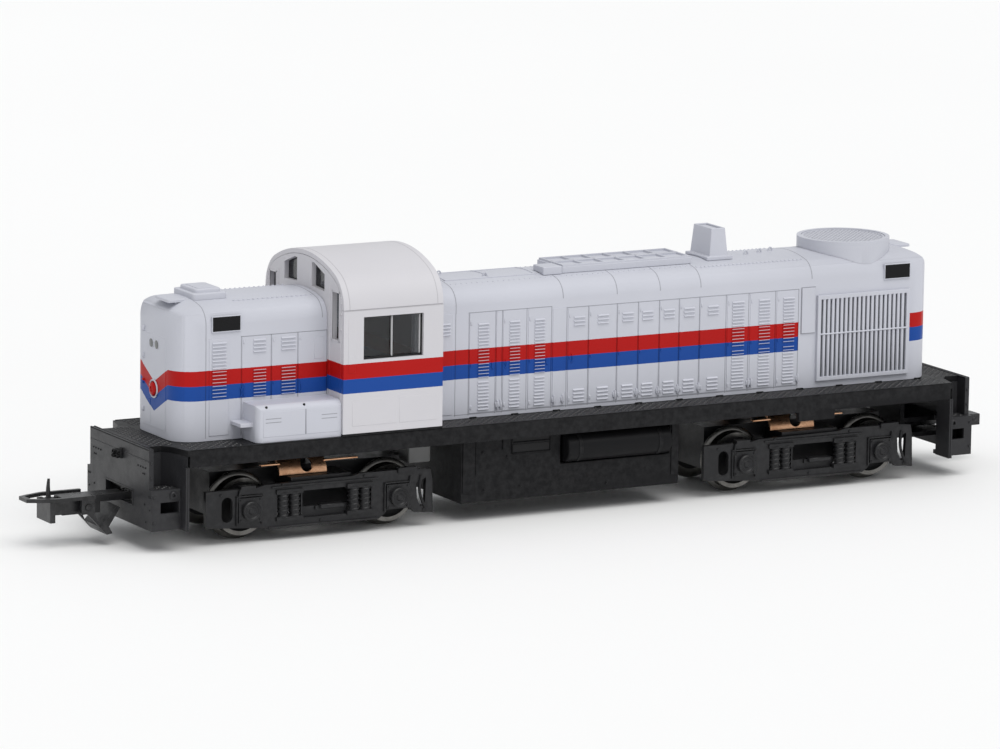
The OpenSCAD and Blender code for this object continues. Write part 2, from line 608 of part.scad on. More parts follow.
deck();
front_pilot();
rear_pilot();
short_hood();
long_hood();
nose_visor();
rear_visor();
hood_hatch();
roof_panel();
horn_box();
exhaust_stack();
fan_shroud();
fan_grille();
radiator_left();
radiator_right();
filter_panels();
number_boards();
headlights();
cab_walls();
cab_roof();
cab_glazing();
cab_floor();
battery_box_left();
battery_box_right();
fuel_tank();
air_reservoirs();
drive_weight();
motor_mount();
coupler_pockets();
front_truck_frame();
front_sideframes();
front_contacts();
rear_truck_frame();
rear_sideframes();
rear_contacts();
wheelset_1();
wheelset_2();
wheelset_3();
wheelset_4();
front_coupler();
coupler_hook();
coupler_loop();
rear_drawbar();
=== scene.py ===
"""Finish and fittings of the HO-scale road-switcher, built around its fixed frame."""

import json
import math

import bmesh
import bpy
import numpy as np
from mathutils import Matrix, Vector

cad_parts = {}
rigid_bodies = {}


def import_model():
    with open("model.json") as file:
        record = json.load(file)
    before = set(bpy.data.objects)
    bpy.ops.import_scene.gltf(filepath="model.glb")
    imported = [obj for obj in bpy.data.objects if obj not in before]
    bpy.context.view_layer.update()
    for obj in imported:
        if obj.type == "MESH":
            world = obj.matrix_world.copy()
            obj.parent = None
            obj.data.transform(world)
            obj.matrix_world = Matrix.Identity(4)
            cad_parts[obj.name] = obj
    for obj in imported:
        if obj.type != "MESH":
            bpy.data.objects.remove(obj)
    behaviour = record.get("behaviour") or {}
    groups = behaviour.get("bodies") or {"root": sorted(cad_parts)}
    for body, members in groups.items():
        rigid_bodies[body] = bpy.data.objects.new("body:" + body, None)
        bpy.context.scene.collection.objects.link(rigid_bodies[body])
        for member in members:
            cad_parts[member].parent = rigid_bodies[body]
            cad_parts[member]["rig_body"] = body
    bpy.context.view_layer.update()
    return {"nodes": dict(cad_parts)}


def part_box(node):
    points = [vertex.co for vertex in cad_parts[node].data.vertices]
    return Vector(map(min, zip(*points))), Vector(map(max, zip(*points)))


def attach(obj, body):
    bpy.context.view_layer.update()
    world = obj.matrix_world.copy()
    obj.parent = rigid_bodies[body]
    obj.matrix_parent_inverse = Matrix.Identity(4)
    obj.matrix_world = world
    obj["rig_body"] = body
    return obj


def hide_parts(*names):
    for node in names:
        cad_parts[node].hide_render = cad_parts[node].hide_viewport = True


bl_info = {
    "name": "Model Road-Switcher",
    "version": (1, 0, 0),
    "blender": (4, 5, 0),
    "location": "View3D > Sidebar > Locomotive",
    "description": "Printed body shell, moulded underframe, trucks and couplers of a model locomotive",
    "category": "Object",
}

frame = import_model()

# shapes are worked out in millimetres: X forward from the middle of the end sheets, Y to the
# left, Z up from the floor, and piece() turns them into metres in the frame of the CAD model
MM = 0.001
MID = (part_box("front_pilot")[1].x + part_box("rear_pilot")[0].x) / 2 / MM
RAIL = 1.0  # flange depth: the rail head's height over the floor


def span(node):
    """Lowest and highest corner of a CAD node in millimetres, X from the middle of the locomotive."""
    low, high = (np.array(corner) / MM - (MID, 0, 0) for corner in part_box(node))
    return low, high


# ---------------------------------------------------------------- mesh building


def join(*shapes):
    """One shape out of several: vertex arrays stacked, face indices shifted by what stands before."""
    points, faces, start = [], [], 0
    for verts, polys in shapes:
        points.append(verts)
        faces += [rows + start for rows in polys]
        start += len(verts)
    return np.concatenate(points), faces


def outward(verts, polys):
    """A convex shape round the origin with each face turned so that its normal points away from it."""
    facing = []
    for poly in polys:
        p = verts[poly]
        normal = np.cross(p[1] - p[0], p[2] - p[0])
        facing.append(poly if normal @ p.mean(0) > 0 else poly[::-1])
    return facing


def points_at(x, y, z):
    """Points from three coordinates, each one value or one for every point."""
    return np.stack(np.broadcast_arrays(x, y, z), -1)


def full_turn(count):
    """Equal angles round a circle."""
    return np.arange(count) * 2 * np.pi / count


def on_circle(angle):
    """Points of the unit circle at the given angles."""
    return np.stack([np.cos(angle), np.sin(angle)], -1)


def grid_quads(rows, cols, close_rows=False, close_cols=False):
    """Quads of a rows x cols grid of vertices, wrapped round in either direction on request."""
    i = np.arange(rows if close_rows else rows - 1)[:, None]
    j = np.arange(cols if close_cols else cols - 1)[None, :]
    a, b = i * cols + j, i * cols + (j + 1) % cols
    c, d = ((i + 1) % rows) * cols + (j + 1) % cols, ((i + 1) % rows) * cols + j
    return np.stack([a, b, c, d], -1).reshape(-1, 4)


def caps(rows, cols):
    """The two end polygons of a strip of rows rings with cols vertices each."""
    ring = np.arange(cols)[None]
    return [ring[:, ::-1], (rows - 1) * cols + ring]


def enclosed(verts, rows):
    """Six times the volume under faces cut into fans, positive where they point outwards."""
    p = verts[rows]
    return sum((np.cross(p[:, 0], p[:, k]) * p[:, k + 1]).sum() for k in range(1, rows.shape[1] - 1))


def right_way(shape):
    """Closed turned rings with their faces pointed outwards, each ring judged by what it encloses."""
    verts, faces = shape
    return verts, [rows if enclosed(verts, rows) > 0 else rows[:, ::-1] for rows in faces]


def blocks(lows, highs, chamfer=0.06):
    """Chamfered blocks, one for each pair of corners.

    Each corner of a box is split into three vertices, one on each face that meets there, drawn
    in by the chamfer along the other two directions. That leaves six faces, twelve edge strips
    and eight corner triangles for every block.
    """
    lows, highs = np.atleast_2d(lows).astype(float), np.atleast_2d(highs).astype(float)
    lows, highs = np.minimum(lows, highs), np.maximum(lows, highs)
    half, centre = (highs - lows) / 2, (highs + lows) / 2
    cut = np.minimum(chamfer, half.min(1) * 0.6)[:, None, None, None]
    signs = np.array([[x, y, z] for x in (-1, 1) for y in (-1, 1) for z in (-1, 1)], float)
    inset = 1 - np.eye(3)
    local = signs[None, :, None, :] * (half[:, None, None, :] - cut * inset[None, None])
    verts = (local + centre[:, None, None, :]).reshape(-1, 3)
    unit = (signs[:, None, :] * (1 - 0.2 * inset[None])).reshape(-1, 3)
    corner = {tuple(s): 3 * k for k, s in enumerate(signs)}
    faces = []
    for axis in range(3):
        u, v = (axis + 1) % 3, (axis + 2) % 3
        for side in (-1, 1):
            ring = []
            for a, b in ((-1, -1), (1, -1), (1, 1), (-1, 1)):
                key = [0, 0, 0]
                key[axis], key[u], key[v] = side, a, b
                ring.append(corner[tuple(map(float, key))] + axis)
            faces.append(ring)
        for a in (-1, 1):
            for b in (-1, 1):
                ends = []
                for side in (-1, 1):
                    key = [0, 0, 0]
                    key[axis], key[u], key[v] = side, a, b
                    ends.append(corner[tuple(map(float, key))])
                faces.append([ends[0] + u, ends[1] + u, ends[1] + v, ends[0] + v])
    faces += [[3 * k, 3 * k + 1, 3 * k + 2] for k in range(8)]
    faces = outward(unit, faces)
    shift = 24 * np.arange(len(lows))[:, None, None]
    quads = np.array([f for f in faces if len(f) == 4])[None] + shift
    tris = np.array([f for f in faces if len(f) == 3])[None] + shift
    return verts, [quads.reshape(-1, 4), tris.reshape(-1, 3)]


def studs(spots, below, above, chamfer):
    """Like blocks on given spots, each reaching below and above its spot by the same amounts."""
    spots = np.atleast_2d(spots).astype(float)
    return blocks(spots - below, spots + above, chamfer)


def frames_from(normals, along=(1.0, 0.0, 0.0)):
    """Right-handed frames whose third column is the normal and whose first lies near along."""
    n = np.atleast_2d(normals).astype(float)
    n /= np.linalg.norm(n, axis=1, keepdims=True)
    ref = np.tile(np.array(along, float), (len(n), 1))
    near = np.abs((ref * n).sum(1)) > 0.95
    ref[near] = (0.0, 0.0, 1.0)
    first = ref - (ref * n).sum(1, keepdims=True) * n
    first /= np.linalg.norm(first, axis=1, keepdims=True)
    return np.stack([first, np.cross(n, first), n], -1)


def scattered(template, centres, normals, scales):
    """Copies of a template shape, each scaled, turned to its normal and set on its centre."""
    verts, polys = template
    centres = np.atleast_2d(centres).astype(float)
    count = len(centres)
    normals = np.broadcast_to(np.atleast_2d(normals), (count, 3))
    scales = np.broadcast_to(np.atleast_2d(scales), (count, 3))
    placed = np.einsum("nij,nkj->nki", frames_from(normals), verts[None] * scales[:, None])
    shift = len(verts) * np.arange(count)[:, None, None]
    faces = [(rows[None] + shift).reshape(-1, rows.shape[1]) for rows in polys]
    return (placed + centres[:, None]).reshape(-1, 3), faces


def dome_template(sides=8):
    """A low rivet head of unit radius and height: two rings and a tip on a quarter circle."""
    ring = on_circle(full_turn(sides))
    rings = [np.c_[ring * r, np.full(sides, z)] for r, z in ((1.0, -0.3), (1.0, 0.25), (0.7, 0.8))]
    verts = np.concatenate(rings + [np.array([[0, 0, 1.0], [0, 0, -0.3]])])
    k, nxt = np.arange(sides), (np.arange(sides) + 1) % sides
    quads = grid_quads(3, sides, False, True)
    tip = np.stack([k + 2 * sides, nxt + 2 * sides, np.full(sides, 3 * sides)], -1)
    foot = np.stack([nxt, k, np.full(sides, 3 * sides + 1)], -1)
    return verts, [quads, np.concatenate([tip, foot])]


def rivets(centres, normals, radius, height):
    """Rivet or bolt heads on a surface."""
    return scattered(dome_template(), centres, normals, (radius, radius, height))


def swept(path, side, up, profile, closed=False):
    """A profile carried along a path: point = path + profile_u * side + profile_v * up.

    side and up are one vector for each path point or one for all. The profile runs
    anticlockwise when seen against the travel, and the ends are capped.
    """
    path = np.asarray(path, float)
    side = np.broadcast_to(np.asarray(side, float), path.shape)
    up = np.broadcast_to(np.asarray(up, float), path.shape)
    profile = np.asarray(profile, float)
    rows, cols = len(path), len(profile)
    verts = path[:, None] + profile[None, :, :1] * side[:, None] + profile[None, :, 1:] * up[:, None]
    faces = [grid_quads(rows, cols, closed, True)]
    if not closed:
        faces += caps(rows, cols)
    verts = verts.reshape(-1, 3)
    volume = sum(enclosed(verts, polys) for polys in faces)
    return verts, (faces if volume > 0 else [polys[:, ::-1] for polys in faces])


def slab(width, height, chamfer=0.05):
    """Profile of a flat strip lying on a surface: it starts a little below it and has chamfered top edges."""
    w, c = width / 2, min(chamfer, width / 4, height / 2)
    return [(w, -0.1), (w, height - c), (w - c, height), (c - w, height), (-w, height - c), (-w, -0.1)]


def tube(path, radius, sides, closed=False):
    """A round bar along a path, with frames from the travel and a fixed reference direction."""
    path = np.asarray(path, float)
    travel = np.gradient(path, axis=0)
    if closed:
        travel = np.roll(path, -1, 0) - np.roll(path, 1, 0)
    basis = frames_from(travel, (0.31, 0.52, 0.8))
    return swept(path, basis[:, :, 0], basis[:, :, 1], radius * on_circle(full_turn(sides)), closed)


def turned(profile, centre, axis, segments=48):
    """A surface of revolution: profile pairs are (radius, distance along the axis)."""
    profile = np.asarray(profile, float)
    basis = frames_from([axis])[0]
    ring = on_circle(full_turn(segments)) @ basis[:, :2].T
    verts = profile[:, None, :1] * ring[None] + profile[:, None, 1:] * basis[:, 2]
    rows = len(profile)
    faces = [grid_quads(rows, segments, False, True)]
    open_end = profile[[0, -1], 0] > 1e-6
    faces += [cap for cap, there in zip(caps(rows, segments), open_end) if there]
    return verts.reshape(-1, 3) + np.asarray(centre, float), faces


def reflected(shape):
    """The mirror image of a shape over the centre plane, faces kept outwards."""
    verts, faces = shape
    return verts * (1, -1, 1), [rows[:, ::-1] for rows in faces]


def mirrored(shape):
    """A shape together with its mirror image."""
    return join(shape, reflected(shape))


def end_for_end(shape):
    """A shape reflected to the other end of the locomotive, faces kept outwards."""
    verts, faces = shape
    return verts * (-1, 1, 1), [rows[:, ::-1] for rows in faces]


def side_plates(rows, inner, proud, chamfer=0.05):
    """Thin plates on both side walls: each row is (x0, x1, z0, z1), standing off the wall plane inner."""
    rows = np.atleast_2d(rows).astype(float)
    low = np.c_[rows[:, 0], np.full(len(rows), inner - 0.15), rows[:, 2]]
    high = np.c_[rows[:, 1], np.full(len(rows), inner + proud), rows[:, 3]]
    return mirrored(blocks(low, high, chamfer))


def mitred(x0, x1, z0, z1, wall, width, proud):
    """A mitred rectangular frame on the left side wall: one strip carried round four corners.

    At each corner the strip's side direction is the sum of the two wall directions, so its
    width stays the same on both sides of the mitre.
    """
    path = [(x0, wall, z0), (x1, wall, z0), (x1, wall, z1), (x0, wall, z1)]
    side = [(-1, 0, -1), (1, 0, -1), (1, 0, 1), (-1, 0, 1)]
    return swept(path, side, (0, 1, 0), slab(width, proud), closed=True)


def bezel(*settings):
    """The same mitred frame on both side walls."""
    return mirrored(mitred(*settings))


def rounded_block(low, high, corner, edge, steps=5, rolls=4):
    """A block with rounded upright corners and a rolled top edge.

    A rounded rectangle is carried up and, over the last stretch, drawn in along a quarter
    circle: inset = edge * (1 - cos t), height = top - edge + edge * sin t.
    """
    low, high = np.asarray(low, float), np.asarray(high, float)
    t = np.linspace(0, np.pi / 2, rolls + 1)
    inset = np.r_[0, edge * (1 - np.cos(t))]
    level = np.r_[low[2], high[2] - edge + edge * np.sin(t)]
    arc = np.linspace(0, np.pi / 2, steps + 1)
    angle = np.concatenate([arc + k * np.pi / 2 for k in range(4)])
    sign = np.repeat([(1, 1), (-1, 1), (-1, -1), (1, -1)], steps + 1, axis=0)
    hub = (low[:2] + high[:2]) / 2 + sign * ((high[:2] - low[:2]) / 2 - corner)
    ring = hub[None] + on_circle(angle)[None] * (corner - np.minimum(inset, corner * 0.9))[:, None, None]
    verts = np.concatenate([ring, np.broadcast_to(level[:, None, None], ring.shape[:2] + (1,))], -1)
    rows, cols = ring.shape[:2]
    return verts.reshape(-1, 3), [grid_quads(rows, cols, False, True)] + caps(rows, cols)


def piece(name, shape, paint, body="body", smooth=40.0, stands_for=None):
    """Puts a shape given in millimetres into a mesh object that rides on a CAD body.

    stands_for names the CAD node that the piece replaces. smooth is the angle in degrees up to
    which edges are shaded round, and 0 leaves every face flat.
    """
    verts, faces = shape
    mesh = bpy.data.meshes.new(name)
    rows = [row for block in faces for row in np.asarray(block).tolist()]
    mesh.from_pydata(((verts + (MID, 0, 0)) * MM).tolist(), [], rows)
    tidy = bmesh.new()
    tidy.from_mesh(mesh)
    bmesh.ops.remove_doubles(tidy, verts=tidy.verts, dist=1e-7)
    tidy.to_mesh(mesh)
    tidy.free()
    mesh.materials.append(PAINT[paint])
    if smooth:
        mesh.shade_smooth()
        mesh.set_sharp_from_angle(angle=math.radians(smooth))
    obj = bpy.data.objects.new(name, mesh)
    bpy.context.scene.collection.objects.link(obj)
    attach(obj, body)
    if stands_for:
        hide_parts(stands_for)


def softened(node, paint, width, segments=2, crease=38.0):
    """A merged copy of a CAD node with its sharp edges rolled over, standing for that node.

    width is how far the roll reaches in millimetres, and crease the angle in degrees from which
    an edge is rolled.
    """
    source = frame["nodes"][node]
    mesh = source.data.copy()
    mesh.materials.clear()
    mesh.materials.append(PAINT[paint])
    tidy = bmesh.new()
    tidy.from_mesh(mesh)
    bmesh.ops.remove_doubles(tidy, verts=tidy.verts, dist=2e-6)
    bmesh.ops.dissolve_degenerate(tidy, dist=1e-6, edges=tidy.edges)
    bmesh.ops.dissolve_limit(tidy, angle_limit=math.radians(0.4), verts=tidy.verts, edges=tidy.edges)
    for face in tidy.faces:
        face.material_index = 0
    tidy.to_mesh(mesh)
    tidy.free()
    mesh.shade_smooth()
    mesh.set_sharp_from_angle(angle=math.radians(crease - 6))
    obj = bpy.data.objects.new(node + "_moulding", mesh)
    bpy.context.scene.collection.objects.link(obj)
    roll = obj.modifiers.new("rolled edges", "BEVEL")
    roll.width = width * MM
    roll.segments = segments
    roll.limit_method = "ANGLE"
    roll.angle_limit = math.radians(crease)
    roll.harden_normals = True
    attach(obj, source["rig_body"])
    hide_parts(node)


# ---------------------------------------------------------------- node groups and materials


def new_group(name, inputs, outputs):
    """An empty shader group with named sockets: each input is (name, type, default)."""
    group = bpy.data.node_groups.new(name, "ShaderNodeTree")
    for label, kind, default in inputs:
        socket = group.interface.new_socket(label, in_out="INPUT", socket_type=kind)
        socket.default_value = default
    for label, kind in outputs:
        group.interface.new_socket(label, in_out="OUTPUT", socket_type=kind)
    return group, group.nodes.new("NodeGroupInput"), group.nodes.new("NodeGroupOutput")


class Wiring:
    """Short ways to add nodes to one tree and link them."""

    def __init__(self, tree):
        self.tree = tree

    def add(self, kind, **settings):
        node = self.tree.nodes.new(kind)
        for key, value in settings.items():
            setattr(node, key, value)
        return node

    def link(self, source, target):
        self.tree.links.new(source, target)

    def feed(self, value, socket):
        if isinstance(value, bpy.types.NodeSocket):
            self.link(value, socket)
        elif value is not None:
            socket.default_value = value

    def math(self, operation, a, b=None, clamp=False):
        node = self.add("ShaderNodeMath", operation=operation, use_clamp=clamp)
        self.feed(a, node.inputs[0])
        self.feed(b, node.inputs[1])
        return node.outputs[0]

    def mix(self, share, a, b):
        node = self.add("ShaderNodeMix", data_type="RGBA")
        self.feed(share, node.inputs[0])
        self.feed(a, node.inputs[6])
        self.feed(b, node.inputs[7])
        return node.outputs[2]

    def spread(self, value, low, high, to_low=0.0, to_high=1.0):
        node = self.add("ShaderNodeMapRange")
        for socket, number in zip(node.inputs, (value, low, high, to_low, to_high)):
            self.feed(number, socket)
        return node.outputs[0]

    def noise(self, place, scale, detail=3.0, roughness=0.5):
        node = self.add("ShaderNodeTexNoise")
        self.link(place, node.inputs["Vector"])
        self.feed(scale, node.inputs["Scale"])
        node.inputs["Detail"].default_value = detail
        node.inputs["Roughness"].default_value = roughness
        return node.outputs["Fac"]

    def place(self):
        return self.add("ShaderNodeTexCoord").outputs["Object"]


def stripe_group():
    """Two printed bands that follow the height, dip to a V on the nose and stop over a plain stretch."""
    number, colour = "NodeSocketFloat", "NodeSocketColor"
    group, inputs, outputs = new_group(
        "printed_bands",
        [("Ground", colour, (0.8, 0.8, 0.8, 1)), ("Upper Band", colour, (0.5, 0, 0, 1)),
         ("Lower Band", colour, (0, 0.05, 0.3, 1)), ("Top", number, 0.0344), ("Middle", number, 0.0314),
         ("Foot", number, 0.0285), ("Dip", number, 0.00325), ("Dip Half", number, 0.006),
         ("Plain From", number, 1.0), ("Plain To", number, 1.0)],
        [("Color", colour), ("Print", number)],
    )
    w = Wiring(group)
    place = w.place()
    axes = w.add("ShaderNodeSeparateXYZ")
    w.link(place, axes.inputs[0])
    x, y, z = axes.outputs
    from_centre = w.math("DIVIDE", w.math("ABSOLUTE", y), inputs.outputs["Dip Half"])
    dip = w.math("MULTIPLY", w.math("SUBTRACT", 1.0, from_centre, clamp=True), inputs.outputs["Dip"])
    ragged = w.math("MULTIPLY", w.math("SUBTRACT", w.noise(place, 2600.0), 0.5), 0.00008)
    height = w.math("ADD", w.math("ADD", z, dip), ragged)
    above = {name: w.math("GREATER_THAN", height, inputs.outputs[name]) for name in ("Top", "Middle", "Foot")}
    after = w.math("GREATER_THAN", x, inputs.outputs["Plain From"])
    before = w.math("LESS_THAN", x, inputs.outputs["Plain To"])
    printed = w.math("SUBTRACT", 1.0, w.math("MULTIPLY", after, before))
    upper = w.math("MULTIPLY", w.math("SUBTRACT", above["Middle"], above["Top"]), printed)
    lower = w.math("MULTIPLY", w.math("SUBTRACT", above["Foot"], above["Middle"]), printed)
    first = w.mix(upper, inputs.outputs["Ground"], inputs.outputs["Upper Band"])
    w.link(w.mix(lower, first, inputs.outputs["Lower Band"]), outputs.inputs["Color"])
    w.link(w.math("ADD", upper, lower), outputs.inputs["Print"])
    return group


def grain_group():
    """Moulded plastic: a slow cloud for shade, a finer one for gloss and a fine grain for height."""
    number = "NodeSocketFloat"
    group, inputs, outputs = new_group(
        "moulded_grain",
        [("Cloud Scale", number, 60.0), ("Grain Scale", number, 9000.0)],
        [("Shade", number), ("Gloss", number), ("Height", number)],
    )
    w = Wiring(group)
    place = w.place()
    w.link(w.noise(place, inputs.outputs["Cloud Scale"], 2.0), outputs.inputs["Shade"])
    finer = w.math("MULTIPLY", inputs.outputs["Cloud Scale"], 6.0)
    w.link(w.noise(place, finer, 4.0), outputs.inputs["Gloss"])
    w.link(w.noise(place, inputs.outputs["Grain Scale"], 3.0), outputs.inputs["Height"])
    return group


def edge_rub_and_sheen_group():
    """Edge wear and painted edge sheen: the mesh's pointed places, broken up by a noise, lightened partly for
    wear and partly to stand for light catching the edges.
    """
    number = "NodeSocketFloat"
    group, inputs, outputs = new_group(
        "edge_rub", [("Start", number, 0.53), ("End", number, 0.62), ("Patches", number, 900.0)],
        [("Mask", number)],
    )
    w = Wiring(group)
    pointed = w.spread(w.add("ShaderNodeNewGeometry").outputs["Pointiness"],
                       inputs.outputs["Start"], inputs.outputs["End"])
    patches = w.spread(w.noise(w.place(), inputs.outputs["Patches"], 4.0, 0.6), 0.35, 0.65)
    w.link(w.math("MULTIPLY", pointed, patches, clamp=True), outputs.inputs["Mask"])
    return group


def dust_and_sheen_group():
    """Fine dust and painted top sheen: faces that look up, thinned by a cloud, lightened towards grey both
    for dust and for the sheen on the tops of the black mouldings.
    """
    number = "NodeSocketFloat"
    group, inputs, outputs = new_group(
        "settled_dust", [("Amount", number, 0.2), ("Patches", number, 300.0)], [("Mask", number)]
    )
    w = Wiring(group)
    axes = w.add("ShaderNodeSeparateXYZ")
    w.link(w.add("ShaderNodeNewGeometry").outputs["Normal"], axes.inputs[0])
    flat = w.spread(axes.outputs[2], 0.4, 0.95)
    cloud = w.spread(w.noise(w.place(), inputs.outputs["Patches"], 5.0, 0.6), 0.3, 0.7)
    amount = w.math("MULTIPLY", w.math("MULTIPLY", flat, cloud), inputs.outputs["Amount"])
    w.link(amount, outputs.inputs["Mask"])
    return group


GROUPS = {}
PAINT = {}


def rgba(colour, share=1.0):
    """A colour, dimmed or lifted by a share, with full alpha."""
    return tuple(share * channel for channel in colour) + (1.0,)


def grouped(w, name, **values):
    """A node group placed in a material with its own values."""
    node = w.add("ShaderNodeGroup", node_tree=GROUPS[name])
    for label, value in values.items():
        w.feed(value, node.inputs[label.replace("_", " ")])
    return node.outputs


def new_finish(name):
    """An empty material filed under its name: the wiring of its tree and its shader."""
    material = bpy.data.materials.new(name)
    material.use_nodes = True
    PAINT[name] = material
    return Wiring(material.node_tree), material.node_tree.nodes["Principled BSDF"]


def set_plain(shader, **values):
    """Numbers that are the same all over a surface, set on the shader's own sockets."""
    for label, value in values.items():
        shader.inputs[label.replace("_", " ")].default_value = value


def relief(w, shader, height, strength, depth):
    """Bump on the shader's normal, its depth in millimetres."""
    bump = w.add("ShaderNodeBump")
    bump.inputs["Strength"].default_value = strength
    bump.inputs["Distance"].default_value = depth * MM
    w.link(height, bump.inputs["Height"])
    w.link(bump.outputs[0], shader.inputs["Normal"])


def moulded(name, colour, roughness, bump=0.02, rub=0.0, rub_and_sheen_share=0.5, dust=0.0, shade=0.06,
            specular=0.5, coat=0.0, metallic=0.0, gloss=0.1, bands=None, bare_beyond=None):
    """Moulded plastic: ground colour, optional printed bands, cloud, edge rub with painted edge sheen, dust
    with painted top sheen, and grain.

    bare_beyond is the distance from the centre plane, in millimetres, past which the print
    mostly gives way to the ground colour, as on the lips of louvres.
    """
    w, shader = new_finish(name)
    grain = grouped(w, "moulded_grain")
    base = rgba(colour)
    if bands:
        base = grouped(w, "printed_bands", Ground=base, **bands)["Color"]
        if bare_beyond:
            axes = w.add("ShaderNodeSeparateXYZ")
            w.link(w.place(), axes.inputs[0])
            lip = w.math("GREATER_THAN", w.math("ABSOLUTE", axes.outputs[1]), bare_beyond * MM)
            base = w.mix(w.math("MULTIPLY", lip, 0.65), base, rgba(colour))
    base = w.mix(w.math("MULTIPLY", w.spread(grain["Shade"], 0.3, 0.7), shade), base, rgba((0, 0, 0)))
    # pointed edges lightened: partly edge wear, partly painted sheen where light catches the edges
    if rub:
        rubbed_and_lit = w.math("MULTIPLY", grouped(w, "edge_rub")["Mask"], rub_and_sheen_share)
        base = w.mix(rubbed_and_lit, base, (rub, rub, rub + 0.002, 1.0))
    # faces that look up turned grey: partly dust, partly painted sheen on the tops of the black mouldings
    if dust:
        base = w.mix(grouped(w, "settled_dust", Amount=dust)["Mask"], base, (0.35, 0.34, 0.32, 1.0))
    w.feed(base, shader.inputs["Base Color"])
    w.link(w.spread(grain["Gloss"], 0.3, 0.7, roughness - gloss / 2, roughness + gloss / 2),
           shader.inputs["Roughness"])
    set_plain(shader, Specular_IOR_Level=specular, Coat_Weight=coat, Coat_Roughness=0.2, Metallic=metallic)
    relief(w, shader, grain["Height"], 0.6, bump)


def clear_plastic(name, colour, roughness):
    """Tinted transparent plastic with a faint cloud in its gloss."""
    w, shader = new_finish(name)
    grain = grouped(w, "moulded_grain", Cloud_Scale=90.0)
    tint = w.mix(w.math("MULTIPLY", grain["Shade"], 0.3), rgba(colour), (0.02, 0.02, 0.02, 1.0))
    w.link(tint, shader.inputs["Base Color"])
    w.link(w.spread(grain["Gloss"], 0.3, 0.7, roughness, roughness + 0.05), shader.inputs["Roughness"])
    set_plain(shader, Transmission_Weight=1.0, IOR=1.45)


def brushed(name, colour, roughness, streaks, tarnish):
    """Bare metal: a noise stretched along the rolling direction for streaks, with tarnish in patches."""
    w, shader = new_finish(name)
    place = w.place()
    stretched = w.add("ShaderNodeMapping")
    w.link(place, stretched.inputs["Vector"])
    stretched.inputs["Scale"].default_value = streaks
    lines = w.noise(stretched.outputs[0], 2500.0, 4.0)
    patches = w.spread(w.noise(place, 350.0, 5.0, 0.6), 0.42, 0.68)
    base = w.mix(w.math("MULTIPLY", patches, 0.5), rgba(colour), rgba(tarnish))
    w.link(base, shader.inputs["Base Color"])
    w.link(w.spread(lines, 0.3, 0.7, roughness - 0.1, roughness + 0.12), shader.inputs["Roughness"])
    set_plain(shader, Metallic=1.0)
    relief(w, shader, lines, 0.4, 0.01)


